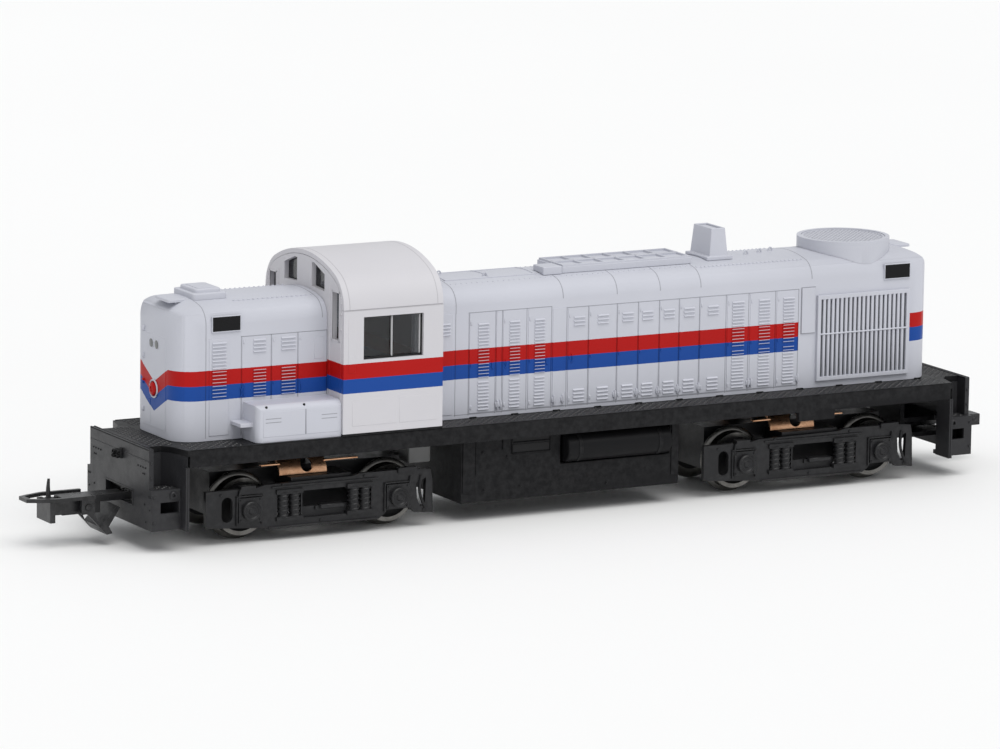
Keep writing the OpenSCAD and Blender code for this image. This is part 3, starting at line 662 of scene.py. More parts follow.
def make_materials(finish):
    """All finishes of the locomotive, from the add-on's colour settings."""
    GROUPS.update(printed_bands=stripe_group(), moulded_grain=grain_group(),
                  edge_rub=edge_rub_and_sheen_group(), settled_dust=dust_and_sheen_group())
    white, warm, black = finish.body_white, finish.cab_white, finish.chassis_black
    top, middle, foot = finish.band_top, finish.band_middle, finish.band_foot
    hood = dict(Upper_Band=rgba(finish.upper_band), Lower_Band=rgba(finish.lower_band),
                Top=top, Middle=middle, Foot=foot,
                Plain_From=(span("radiator_left")[0][0] - 0.3 + MID) * MM,
                Plain_To=(span("filter_panels")[1][0] + 0.6 + MID) * MM)
    dim = dict(hood, Upper_Band=rgba(finish.upper_band, 0.55), Lower_Band=rgba(finish.lower_band, 0.55))
    cab = dict(Upper_Band=hood["Upper_Band"], Lower_Band=hood["Lower_Band"],
               Top=top + 0.0004, Middle=middle + 0.0004, Foot=foot + 0.00045, Dip=0.0)
    lip = HOOD_HALF + DOOR_PROUD + 0.75 * BLADE_PROUD
    moulded("white_body", white, 0.4, shade=0.04, specular=0.15, bands=hood)
    moulded("white_louvre", white, 0.42, shade=0.04, specular=0.12, bands=hood, bare_beyond=lip)
    moulded("cab_white", warm, 0.38, shade=0.03, specular=0.15, bands=cab)
    moulded("plain_white", white, 0.42, shade=0.05, specular=0.15)
    moulded("joint_shadow", rgba(white, 0.6)[:3], 0.6, shade=0.1, specular=0.2, bands=dim)
    moulded("cab_joint", rgba(warm, 0.78)[:3], 0.6, shade=0.1, specular=0.2)
    # black mouldings as (name, share of the chassis black, roughness, bump, edge rub and painted edge sheen
    # colour, its share, dust and painted top sheen, specular, gloss); the lifted black of the end sheets,
    # tread plates and trucks paints their sheen and glints
    for name, share, roughness, bump, rub, rub_and_sheen_share, dust, specular, gloss in (
            ("black_chassis", 1.0, 0.42, 0.03, 0.05, 0.25, 0.02, 0.13, 0.12),
            ("pilot_grey", 2.6, 0.4, 0.03, 0.06, 0.25, 0.02, 0.32, 0.12),
            ("tread_glint_black", 1.8, 0.28, 0.02, 0.0, 0.0, 0.0, 0.6, 0.1),
            ("truck_sheen_black", 1.6, 0.36, 0.04, 0.05, 0.3, 0.02, 0.3, 0.15),
            ("coupler_plastic", 1.3, 0.3, 0.03, 0.08, 0.3, 0.04, 0.4, 0.1)):
        moulded(name, rgba(black, share)[:3], roughness, bump, rub, rub_and_sheen_share, dust,
                specular=specular, gloss=gloss)
    moulded("slot_shadow", (0.11, 0.115, 0.13), 0.6, shade=0.2, specular=0.2)
    moulded("black_board", (0.004, 0.004, 0.005), 0.3, bump=0.01, specular=0.2, shade=0.1)
    moulded("window_rubber", (0.012, 0.012, 0.013), 0.5, specular=0.25)
    moulded("window_metal", (0.5, 0.5, 0.51), 0.4, bump=0.01, metallic=0.2)
    moulded("cab_inside_grey", (0.03, 0.03, 0.032), 0.6, dust=0.05, specular=0.2)
    moulded("motor_grey", (0.3, 0.3, 0.3), 0.5, shade=0.15)
    moulded("wheel_black", (0.012, 0.012, 0.013), 0.5, bump=0.03, dust=0.02, specular=0.3)
    moulded("lamp_lens", (0.09, 0.095, 0.1), 0.2, bump=0.005, coat=0.3, shade=0.2)
    clear_plastic("glazing", (0.35, 0.37, 0.4), 0.03)
    brushed("copper", (0.78, 0.46, 0.28), 0.34, (1, 12, 1), (0.35, 0.13, 0.05))
    brushed("wheel_metal", (0.2, 0.195, 0.185), 0.32, (3, 1, 3), (0.05, 0.045, 0.04))
    brushed("weight_metal", (0.3, 0.3, 0.3), 0.5, (1, 1, 1), (0.12, 0.1, 0.09))


# ---------------------------------------------------------------- body shell

HOOD_HALF = span("short_hood")[1][1]
HOOD_CROWN = span("long_hood")[1][2]
HOOD_RISE = 4.6
SHOULDER = 3.8
CAB_HALF = span("cab_walls")[1][1]
CAB_CROWN = span("cab_roof")[1][2]
CAB_RISE = 9.6
CAB_SHOULDER = 7.4
DECK_TOP = span("short_hood")[0][2]
DOOR_PROUD = 0.12
BLADE_PROUD = 0.3
NOSE = span("short_hood")[1][0]
NOSE_CORNER = 4.8


def arch(angle, half, crown, rise, shoulder, lift=0.0):
    """Point (y, z) of a roof arch by the angle of its normal from the vertical.

    The crown is one large circle about the centre plane and each shoulder a small one whose
    centre lies at the spring line. Their radii share one direction where they meet, so the
    point is the centre of the circle in force plus its radius along the normal.
    """
    angle = np.asarray(angle, float)
    spring, reach = crown - rise, half - shoulder
    down = (reach**2 - (rise - shoulder) ** 2) / (2 * (rise - shoulder))
    radius = rise + down
    turn = math.asin(reach / (radius - shoulder))
    on_crown = np.abs(angle) <= turn
    y = np.where(on_crown, (radius + lift) * np.sin(angle),
                 np.sign(angle) * reach + (shoulder + lift) * np.sin(angle))
    z = np.where(on_crown, spring - down + (radius + lift) * np.cos(angle),
                 spring + (shoulder + lift) * np.cos(angle))
    return y, z


def arch_angle(y, half, crown, rise, shoulder):
    """Angle of the arch's normal at a distance y from the centre plane, found by interpolation."""
    table = np.radians(np.linspace(0, 90, 721))
    return np.sign(y) * np.interp(np.abs(y), arch(table, half, crown, rise, shoulder)[0], table)


HOOD_ARCH = (HOOD_HALF, HOOD_CROWN, HOOD_RISE, SHOULDER)
CAB_ARCH = (CAB_HALF, CAB_CROWN, CAB_RISE, CAB_SHOULDER)


def roof_band(x, width, height, section=HOOD_ARCH, y_to=None, steps=56):
    """A thin strip over the roof at one X, following the arch from side to side."""
    limit = np.radians(89) if y_to is None else arch_angle(y_to, *section)
    angle = np.linspace(-limit, limit, steps)
    y, z = arch(angle, *section)
    up = points_at(0.0, np.sin(angle), np.cos(angle))
    return swept(points_at(x, y, z), (1, 0, 0), up, slab(width, height))


def roof_runner(x0, x1, y, width, height):
    """A thin strip along the hood roof at a distance y from the centre plane."""
    angle = arch_angle(y, *HOOD_ARCH)
    place = arch(angle, *HOOD_ARCH)
    path = np.array([[x0, *place], [x1, *place]])
    return swept(path, (0, math.cos(angle), -math.sin(angle)), (0, math.sin(angle), math.cos(angle)),
                 slab(width, height))


def roof_bolts(x0, x1, y, pitch, radius, height, lift=0.0):
    """A row of bolt heads along the hood roof at a distance y from the centre plane."""
    angle = arch_angle(y, *HOOD_ARCH)
    centres = points_at(np.arange(x0, x1, pitch), *arch(angle, *HOOD_ARCH, lift=lift))
    return rivets(centres, (0, math.sin(angle), math.cos(angle)), radius, height)


BLADE = [(0.0, 0.5), (0.45, 0.25), (0.95, -0.2), (1.0, -0.38), (0.85, -0.5), (0.0, -0.42)]


def louvres(groups, wall, pitch=0.68):
    """Louvre blades on both side walls: each group is (x0, x1, z0, z1).

    A blade is one sloping wedge, its profile given as (stand-off, height) shares, carried
    along X over the width of the group. Blades are a pitch apart from the top of the group down.
    """
    shapes = []
    for x0, x1, z0, z1 in groups:
        count = max(2, int(round((z1 - z0) / pitch)))
        for z in z0 + (np.arange(count) + 0.5) * (z1 - z0) / count:
            profile = [(out * BLADE_PROUD, up * pitch * 0.52) for out, up in BLADE]
            profile[0] = (-0.08, profile[0][1])
            profile[-1] = (-0.08, profile[-1][1])
            shapes.append(swept([[x0, wall, z], [x1, wall, z]], (0, 1, 0), (0, 0, 1), profile))
    return mirrored(join(*shapes))


SHORT_DOORS = [(72.5, 66.3), (66.0, 60.5), (60.2, 54.2)]
LONG_DOORS = [(22.2, 16.5), (14.6, 9.6), (8.9, 3.9), (-0.2, -4.7), (-5.0, -11.3), (-11.6, -16.2),
              (-16.5, -21.1), (-21.4, -25.7), (-26.0, -30.5), (-30.8, -36.6), (-37.2, -41.9),
              (-42.6, -48.3), (-48.9, -53.9)]
DOOR_FACE = HOOD_HALF + DOOR_PROUD - 0.02


def hood_shells():
    """Hoods, their roof castings, the stepped hatch and the two visors on legs."""
    for node in ("short_hood", "long_hood"):
        softened(node, "white_body", 0.12, crease=62.0)
    for node, width in (("roof_panel", 0.12), ("horn_box", 0.2), ("exhaust_stack", 0.16),
                        ("fan_shroud", 0.14)):
        softened(node, "plain_white", width, segments=3)
    low, high = span("hood_hatch")
    tiers = [rounded_block(low, high - (0, 0, 0.75), 0.7, 0.25),
             rounded_block(low + (0.9, 0.9, 0), high - (0.9, 0.9, 0), 0.8, 0.3),
             rounded_block(low + (1.7, 1.7, 0), high - (1.7, 1.7, -0.12), 0.5, 0.1)]
    piece("hood_hatch_cover", join(*tiers), "plain_white", stands_for="hood_hatch")
    for node, side in (("nose_visor", 1), ("rear_visor", -1)):
        low, high = span(node)
        plate = rounded_block((low[0], low[1], high[2] - 0.55), high, 0.6, 0.14)
        edge = high[0] if side > 0 else low[0]
        back, front = edge - side * 3.9, edge - side * 2.2
        foot, under = low[2], high[2] - 0.4
        legs = blocks([(back - 0.3, -1.9, foot + 0.2), (front - 0.3, -2.6, foot), (front - 0.3, 2.2, foot)],
                      [(back + 0.3, 1.9, under), (front + 0.3, -2.2, under), (front + 0.3, 2.6, under)], 0.08)
        piece(node + "_plate", join(plate, legs), "plain_white", stands_for=node)


def hood_doors():
    """Doors and fixed plates of both hoods, one plate each, with a prouder locker on the short hood."""
    foot = DECK_TOP + 1.0
    short = [(a, b, foot, 40.5) for a, b in SHORT_DOORS] + [(79.6, 75.4, foot, 40.6)]
    locker = side_plates([(56.8, 54.7, 35.1, 39.4)], HOOD_HALF, DOOR_PROUD + 0.08)
    long = [(a, b, foot, 41.6 if a > 3 else 41.1) for a, b in LONG_DOORS]
    long += [(16.1, 15.0, foot, 41.6), (3.3, 0.4, foot, 41.3), (28.9, 25.9, foot, 41.8)]
    piece("short_hood_doors", join(side_plates(short, HOOD_HALF, DOOR_PROUD), locker), "white_body")
    piece("long_hood_doors", side_plates(long, HOOD_HALF, DOOR_PROUD), "white_body")


def hood_louvres():
    """Louvre groups on the doors: full height on the doors at both ends, small pairs between them."""
    short = [(79.0, 76.0, 28.9, 40.1)]
    short += [(a, b, *z) for a, b in ((70.1, 67.4), (64.0, 61.0)) for z in ((28.5, 34.3), (37.2, 40.2))]
    front = [(20.3, 17.9), (13.2, 10.9), (7.5, 5.2)]
    rear = [(-38.3, -41.1), (-44.6, -47.2), (-50.4, -53.0)]
    small = [-2.7, -8.2, -13.9, -18.5, -23.5, -28.2, -33.8]
    long = [(a, b, *z) for z in ((21.8, 28.0), (28.4, 39.7)) for a, b in front]
    long += [(x + 1.25, x - 1.25, *z) for x in small for z in ((37.3, 39.6), (21.8, 24.8))]
    long += [(a, b, *z) for a, b in rear for z in ((30.4, 40.0), (21.8, 30.0))]
    long += [(28.7, 26.6, 37.4, 40.2)]
    piece("short_hood_louvres", louvres(short, DOOR_FACE), "white_louvre")
    piece("long_hood_louvres", louvres(long, DOOR_FACE), "white_louvre")


def hood_latches():
    """Hinges beside the seams, bow handles above the bands and paired latches at the foot of the doors."""
    hinges = [(x - 0.35, DOOR_FACE, z) for x, _ in SHORT_DOORS + LONG_DOORS for z in (22.6, 31.2, 39.6)]
    shapes = [mirrored(studs(hinges, (0.18, 0.1, 0.42), (0.18, 0.16, 0.42), 0.09))]
    angle = np.linspace(-0.5 * np.pi, 0.5 * np.pi, 9)
    bows = ((71.9, 1), (72.9, -1), (60.9, 1), (59.9, -1), (16.9, 1), (14.2, -1), (4.5, 1), (-0.9, -1))
    for x, side in bows:
        z = 29.6 if x > 50 else 30.9
        path = points_at(x + side * 0.32 * np.cos(angle), DOOR_FACE + 0.1, z + 0.8 * np.sin(angle))
        shapes.append(mirrored(tube(path, 0.13, 6)))
    feet = [15.9, 15.2, 3.0, 1.0, -11.0, -16.0, -21.0, -25.6, -30.5, -42.2, -42.9, -54.0]
    # each latch is a plate with an upright lever on it
    for z, below, above, chamfer in ((22.2, (0.42, 0.1, 0), (0.42, 0.26, 1.1), 0.12),
                                     (21.8, (0.14, -0.1, 0), (0.14, 0.46, 1.9), 0.1)):
        shapes.append(mirrored(studs([(x, DOOR_FACE, z) for x in feet], below, above, chamfer)))
    piece("hood_latches", join(*shapes), "white_body")


def hood_joints():
    """Dark joint lines: seams over the roof, between the doors, round them and round the filter panels."""
    lines = [roof_band(x, 0.16, 0.025) for x in (25.3, 1.0, -11.4, -21.4, -30.9, -57.2, 55.0, 80.3)]
    foot = DECK_TOP + 0.6
    upright = [(x, foot, 40.7) for x in (72.65, 66.15, 60.35, 53.95, 80.3)]
    upright += [(25.3, 41.7, 43.2), (80.3, 40.6, 43.2)]
    upright += [(x, foot, 41.8) for x in (25.35, 22.35, 16.3, 14.8, 9.25, 3.6)]
    upright += [(x, foot, 41.3) for x in (0.1, -4.85, -11.45, -16.35, -21.25, -25.85, -30.65,
                                          -36.9, -42.25, -48.6, -54.1)]
    rows = [(x - 0.07, x + 0.07, z0, z1) for x, z0, z1 in upright]
    rows += [(53.9, 72.7, 40.57, 40.7), (3.6, 22.4, 41.67, 41.8), (-54.1, 0.1, 41.17, 41.3),
             (-54.2, 25.5, 21.2, 21.33), (54.55, 54.69, 35.0, 39.5), (56.81, 56.95, 35.0, 39.5),
             (54.6, 56.9, 34.95, 35.09), (54.6, 56.9, 39.41, 39.55)]
    lines.append(side_plates(rows, HOOD_HALF, 0.03, 0.01))
    low, high = span("filter_panels")
    lines.append(bezel(low[0] - 0.06, high[0] + 0.06, low[2] - 0.06, high[2] + 0.06, HOOD_HALF, 0.14, 0.03))
    piece("hood_joint_lines", join(*lines), "joint_shadow")


def hood_roofs():
    """Bolted edge strips, bolt rows, covers and lifting eyes on the roofs, trays on the raised panel."""
    seams = [roof_runner(-56.4, -31.4, s * 7.15, 0.5, 0.09) for s in (-1, 1)]
    seams += [roof_runner(55.4, 72.6, s * 6.0, 0.5, 0.09) for s in (-1, 1)]
    piece("hood_roof_seams", join(*seams), "white_body")
    bolts = [roof_bolts(-56.2, -31.6, s * 7.35, 0.95, 0.24, 0.22, 0.04) for s in (-1, 1)]
    bolts += [roof_bolts(55.6, 72.4, s * 6.2, 1.05, 0.24, 0.22, 0.04) for s in (-1, 1)]
    bolts += [roof_bolts(-30.6, 24.8, s * 6.4, 1.2, 0.16, 0.12) for s in (-1, 1)]
    piece("hood_roof_bolts", join(*bolts), "white_body")
    covers = [roof_runner(4.0, 24.8, s * 4.1, 0.5, 0.14) for s in (-1, 1)]
    covers += [roof_band(x, 0.5, 0.14, y_to=4.35, steps=20) for x in (4.25, 14.4, 24.55)]
    bend = np.linspace(0, np.pi, 9)
    for x, y in ((22.6, -2.4), (15.0, 2.9), (-50.2, 0.6), (-53.4, -0.4), (-46.5, 1.5)):
        z = float(arch(arch_angle(y, *HOOD_ARCH), *HOOD_ARCH)[1])
        covers.append(tube(points_at(x + 0.45 * np.cos(bend), y, z - 0.1 + 0.75 * np.sin(bend)), 0.17, 6))
    piece("hood_roof_covers", join(*covers), "plain_white")

    low, high = span("roof_panel")
    foot, rim, reach = high[2] - 0.1, high[2] + 0.42, 4.8
    bars = [(low[0] + 0.2, high[0] - 0.2, y - 0.16, y + 0.16) for y in (-reach, -0.3, 0.3, reach)]
    bars += [(x - 0.22, x + 0.22, -reach, reach) for x in np.linspace(low[0] + 0.5, high[0] - 0.5, 7)]
    trays = blocks([(x0, y0, foot) for x0, _, y0, _ in bars], [(x1, y1, rim) for _, x1, _, y1 in bars], 0.08)
    piece("roof_trays", trays, "plain_white")
    low, high = span("exhaust_stack")
    cap = blocks([(low[0] + 1.9, -3.15, high[2] - 1.2)], [(high[0] - 1.9, 3.15, high[2] - 0.35)], 0.1)
    piece("stack_cover", cap, "plain_white")


def dress_hoods():
    """Hood shells with doors, louvres, latches, joint lines and roof fittings."""
    for part in (hood_shells, hood_doors, hood_louvres, hood_latches, hood_joints, hood_roofs):
        part()


NOSE_FLAT = HOOD_HALF - NOSE_CORNER
BOSS_HEIGHT = 29.7


def dress_ends():
    """Lamps, ring boss, hinges and panel of each hood's rounded end."""
    panel = blocks([(NOSE - 0.15, -NOSE_FLAT + 0.2, 22.0)], [(NOSE + 0.06, NOSE_FLAT - 0.2, 40.4)], 0.05)
    door = blocks([(NOSE - 0.1, -NOSE_FLAT + 1.4, 22.6)], [(NOSE + 0.12, -NOSE_FLAT + 3.8, 27.4)], 0.05)
    hinges = studs([(NOSE - 0.1, -NOSE_FLAT + 0.25, z) for z in (40.5, 35.1, 24.5, 30.0)], (0, 0, 0),
                   (0.5, 0.7, 1.0), 0.15)
    boss = turned([(1.3, -0.1), (1.3, 0.4), (1.1, 0.62), (0.55, 0.7), (0.5, 0.55), (0.0, 0.5)],
                  (NOSE + 0.05, 0, BOSS_HEIGHT), (1, 0, 0), 32)
    bolts = rivets([(NOSE - 2.2, s * (HOOD_HALF - 1.35), z) for s in (-1, 1) for z in (24.4, 30.4, 42.2)],
                   [(0.55, s * 0.83, 0) for s in (-1, 1) for _ in range(3)], 0.25, 0.2)
    trim = join(panel, door, hinges, boss, bolts)
    round_ = on_circle(full_turn(40))

    def ring(x, y, z, radius, thick, sides):
        return tube(np.c_[np.full(40, x), (y, z) + radius * round_], thick, sides, closed=True)

    rim = ring(NOSE + 0.2, 0.0, BOSS_HEIGHT, 1.7, 0.17, 8)
    low, high = span("headlights")
    height = (low[2] + high[2]) / 2
    lens_profile = [(0.86, -0.1), (0.86, 0.08), (0.6, 0.12), (0.3, 0.14), (0.0, 0.14)]
    lens = join(*(turned(lens_profile, (NOSE + 0.06, y, height), (1, 0, 0), 32) for y in (-1.2, 1.2)))
    rings = join(*(ring(NOSE + 0.06, y, height, 0.93, 0.12, 6) for y in (-1.2, 1.2)))
    for end, flip in (("front", lambda shape: shape), ("rear", end_for_end)):
        piece(end + "_nose_trim", flip(trim), "white_body")
        piece(end + "_nose_ring", flip(rim), "plain_white")
        piece(end + "_lamp_bezels", flip(rings), "plain_white")
        piece(end + "_lamp_lenses", flip(lens), "lamp_lens", stands_for="headlights")


def dress_radiators():
    """Upright bars over a dark core on each side, filter panels, number boards and the fan."""
    low, high = span("radiator_left")
    core = blocks([(low[0] + 0.5, low[1], low[2] + 0.5)],
                  [(high[0] - 0.5, low[1] + 0.16, high[2] - 0.5)], 0.04)
    gaps = 20
    x = low[0] + 0.6 + (high[0] - low[0] - 1.2) / gaps * np.arange(1, gaps)
    bars = blocks([(v - 0.31, low[1] + 0.1, low[2] + 0.45) for v in x],
                  [(v + 0.31, high[1] - 0.02, high[2] - 0.45) for v in x], 0.14)
    rod = tube([(low[0] + 0.6, high[1] - 0.02, 31.6), (high[0] - 0.6, high[1] - 0.02, 31.6)], 0.17, 8)
    back = low[1] + 0.1
    surround = mitred(low[0] + 0.4, high[0] - 0.4, low[2] + 0.4, high[2] - 0.4, back, 0.8, high[1] - back)
    left = join(bars, rod, surround)
    for node, shape in (("radiator_left", left), ("radiator_right", reflected(left))):
        piece(node + "_bars", shape, "plain_white", stands_for=node)
    piece("radiator_cores", mirrored(core), "slot_shadow")
    softened("filter_panels", "plain_white", 0.08)
    softened("number_boards", "black_board", 0.05)
    low, high = span("number_boards")
    rims = [bezel(x0 - 0.05, x1 + 0.05, low[2] - 0.05, high[2] + 0.05, HOOD_HALF, 0.16, 0.36)
            for x0, x1 in ((high[0] - 6.0, high[0]), (low[0], low[0] + 6.0))]
    piece("number_board_rims", join(*rims), "plain_white")
    dress_fan()


def dress_fan():
    """The fan's round mesh of crossed wires, and under it six blades, a hub and a dark floor."""
    low, high = span("fan_grille")
    centre, top, radius = (low[0] + high[0]) / 2, high[2], (high[0] - low[0]) / 2 - 0.05
    offsets = np.arange(-radius + 0.45, radius, 0.78)
    reach = np.sqrt(np.maximum(radius**2 - offsets**2, 0.01))
    wires = []
    for turn, lift in ((np.pi / 4, 0.05), (-np.pi / 4, 0.01)):
        along, across = np.array([np.cos(turn), np.sin(turn), 0]), np.array([-np.sin(turn), np.cos(turn), 0])
        for offset, half in zip(offsets, reach):
            middle = np.array([centre, 0, top + lift]) + across * offset
            wires.append(swept([middle - along * half, middle + along * half], across, (0, 0, 1),
                               [(0.15, -0.1), (0.11, 0.02), (-0.11, 0.02), (-0.15, -0.1)]))
    rim = turned([(radius + 0.04, -0.25), (radius, 0.14), (radius - 0.45, 0.14), (radius - 0.5, -0.25)],
                 (centre, 0, top), (0, 0, 1), 72)
    piece("fan_mesh", join(*wires, rim), "plain_white", stands_for="fan_grille")
    hub_centre = np.array([centre, 0, top - 1.2])
    blades = []
    for turn in np.arange(6) * np.pi / 3:
        radial, side = np.array([np.cos(turn), np.sin(turn), 0]), np.array([-np.sin(turn), np.cos(turn), 0.5])
        blades.append(swept([hub_centre + radial * r for r in (1.2, 4.5, 8.2)], side, (0, 0, 1),
                            [(1.1, -0.12), (1.1, 0.12), (-1.1, 0.12), (-1.1, -0.12)]))
    hub = turned([(0.0, -0.6), (1.7, -0.6), (1.7, 0.3), (1.2, 0.6), (0, 0.7)], hub_centre, (0, 0, -1), 24)
    floor = turned([(0.0, -0.2), (radius, -0.2), (radius, 0.0), (0.0, 0.0)],
                   (centre, 0, top - 2.0), (0, 0, -1))
    piece("fan_blades", join(*blades, hub, floor), "slot_shadow")


def dress_cab():
    """Cab walls, roof, window frames, gutter, seams and hinges."""
    softened("cab_walls", "cab_white", 0.14)
    softened("cab_roof", "cab_white", 0.14)
    low, high = span("cab_walls")
    gutter = CAB_CROWN - CAB_RISE - 0.1
    gutter_line = (low[0] + 0.1, high[0] - 0.1, gutter - 0.07, gutter + 0.07)
    joints = [side_plates([gutter_line], CAB_HALF, 0.03, 0.01)]
    joints += [roof_band(x, 0.14, 0.025, CAB_ARCH) for x in (high[0] - 1.3, low[0] + 1.3)]
    piece("cab_joint_lines", join(*joints), "cab_joint")
    plates = [(high[0] - 2.0, high[0] - 11.8, 22.4, 27.6), (low[0] + 1.2, high[0] - 12.4, 22.4, 27.6),
              (high[0] - 1.0, high[0] - 2.6, 33.0, 44.2)]
    knobs = [(low[0] + 4.6, CAB_HALF, 26.4), (high[0] - 0.6, CAB_HALF, 41.0)]
    shapes = [side_plates(plates, CAB_HALF, 0.05, 0.04), mirrored(rivets(knobs, (0, 1, 0), 0.22, 0.05))]
    # strips round the outer end windows and beside the end doors, as (y0, y1, z0, z1)
    foot = DECK_TOP + 1
    strips = [(12.1, 12.4, 38.9, 48.9), (15.2, 15.5, 38.9, 48.9), (12.1, 15.5, 38.9, 39.2),
              (12.1, 15.5, 48.6, 48.9), (11.2, 11.35, foot, 49.6), (16.0, 16.15, foot, 48.4)]
    for x, facing in ((high[0], 1), (low[0], -1)):
        dots = [(x, s * 16.2, z) for s in (-1, 1) for z in (46.8, 44.6, 41.6)]
        shapes.append(rivets(dots, (facing, 0, 0), 0.24, 0.2))
        shapes.append(mirrored(blocks([(x - 0.15 * facing, y0, z0) for y0, _, z0, _ in strips],
                                      [(x + 0.1 * facing, y1, z1) for _, y1, _, z1 in strips], 0.04)))
    piece("cab_trim", join(*shapes), "cab_white")

    x0, x1 = low[0] + 4.4, high[0] - 4.4
    z0, z1 = gutter - 9.9, gutter - 1.4
    pane = CAB_HALF - 1.0
    gasket = [(x0 - 0.05, x0 + 0.3, z0, z1), (x1 - 0.3, x1 + 0.05, z0, z1),
              (x0, x1, z1 - 0.3, z1 + 0.05), (x0, x1, z0 - 0.05, z0 + 0.4)]
    rubber = blocks([(a, pane - 0.02, c) for a, _, c, _ in gasket],
                    [(b, pane + 0.35, d) for _, b, _, d in gasket])
    piece("side_window_gaskets", mirrored(rubber), "window_rubber")
    middle = (x0 + x1) / 2 + 0.1
    mullion = blocks([(middle - 0.16, pane - 0.05, z0 + 0.3)], [(middle + 0.16, pane + 0.42, z1 - 0.2)])
    piece("side_window_mullions", mirrored(mullion), "window_metal")
    # the rear reveal of each side window, a sloping strip behind the pane's edge
    reveal = swept([[x0 + 0.2, pane - 0.1, z] for z in (z0 + 0.3, z1 - 0.3)], (1, 0, 0), (0, 1, 0),
                   [(1.5, -0.9), (1.6, -0.75), (0.0, 0.3), (0.0, -0.9)])
    piece("side_window_reveals", mirrored(reveal), "window_metal")
    softened("cab_floor", "cab_inside_grey", 0.2)
    panes = frame["nodes"]["cab_glazing"].data.materials
    panes.clear()
    panes.append(PAINT["glazing"])


def dress_battery_boxes():
    """Low equipment boxes beside the short hood with doors, vents and knobs."""
    for node in ("battery_box_left", "battery_box_right"):
        softened(node, "plain_white", 0.15, segments=3)
    low, high = span("battery_box_left")
    wall, x0, x1 = high[1], low[0] + 0.4, high[0] - 3.9
    split, foot = (x0 + x1) / 2 - 0.9, 21.6
    doors = side_plates([(x0, split - 0.12, foot, 26.5), (split + 0.12, x1, foot, 26.5)], wall, 0.06)
    piece("battery_box_doors", doors, "plain_white")
    gaps = [(split - 0.07, split + 0.07, foot, 26.6)]
    gaps += [(a, b, z, z + 0.16) for a, b in ((x0 + 0.6, x0 + 4.0), (x1 - 3.9, x1 - 0.5))
             for z in (25.1, 24.35)]
    piece("battery_box_slots", side_plates(gaps, wall, 0.075, 0.01), "joint_shadow")
    knobs = rivets([(split + a, wall - 0.42, high[2] - 0.42) for a in (8.4, 0.2)], (0, 0.75, 0.66), 0.28, 0.3)
    piece("battery_box_knobs", mirrored(knobs), "window_rubber")


# ---------------------------------------------------------------- underframe


def lozenges(points, length, width, height, turn):
    """Raised lozenges of a tread plate: four-sided pyramids, alternately turned."""
    unit = np.array([(-1, 0, 0), (0, -1, 0), (1, 0, 0), (0, 1, 0), (0, 0, 1)], float)
    faces = np.array([(0, 1, 4), (1, 2, 4), (2, 3, 4), (3, 0, 4)])
    local = unit[None] * (length, width, height)
    c, s = np.cos(turn)[:, None], np.sin(turn)[:, None]
    x = c * local[..., 0] - s * local[..., 1]
    y = s * local[..., 0] + c * local[..., 1]
    verts = np.stack([x, y, np.broadcast_to(local[..., 2], x.shape)], -1) + points[:, None]
    bottom = np.array([(3, 2, 1, 0)])
    shift = 5 * np.arange(len(points))[:, None, None]
    return verts.reshape(-1, 3), [(faces[None] + shift).reshape(-1, 3), (bottom[None] + shift).reshape(-1, 4)]


def tread(x0, x1, y0, y1, top, pitch=0.85):
    """A field of lozenges on a flat deck, every second row shifted by half a pitch."""
    x = np.arange(x0 + pitch / 2, x1 - pitch / 4, pitch)
    y = np.arange(y0 + pitch / 2, y1 - pitch / 4, pitch)
    gx, gy = np.meshgrid(x, y, indexing="ij")
    odd = (np.arange(len(x))[:, None] + np.arange(len(y))[None]) % 2
    points = np.stack([gx, gy, np.full(gx.shape, top - 0.01)], -1).reshape(-1, 3)
    return lozenges(points, 0.36, 0.15, 0.15, np.where(odd.ravel() == 1, 0.6, -0.6))


def dress_deck():
    """Deck, side sills, tread plates and the pegs that hold the body down."""
    softened("deck", "black_chassis", 0.12)
    edge, top = span("deck")[1][1], DECK_TOP - 0.02
    cab_rear, box_front = span("cab_walls")[0][0], span("battery_box_left")[1][0]
    walk, end = HOOD_HALF + 0.3, 92.6
    fields = [tread(-86.6, cab_rear - 0.4, walk, edge - 0.5, top),
              tread(box_front + 0.3, 86.8, walk, edge - 0.5, top),
              tread(NOSE + 0.4, end, 0.0, 10.0, top), tread(-end, -NOSE - 0.4, 0.0, 10.0, top)]
    # the tread lozenges are black lifted above the deck's to paint their glints
    piece("deck_tread", mirrored(join(*fields)), "tread_glint_black", smooth=0)
    ribs = blocks([(-86.9, edge - 0.3, top - 0.15)], [(86.9, edge, top + 0.09)], 0.05)
    x = np.arange(-84, cab_rear - 2, 9.5)
    pegs = studs(points_at(x, HOOD_HALF + 0.02, top - 0.05), (0, 0, 0), (1.6, 0.35, 0.35), 0.08)
    piece("deck_trim", mirrored(join(ribs, pegs)), "black_chassis")


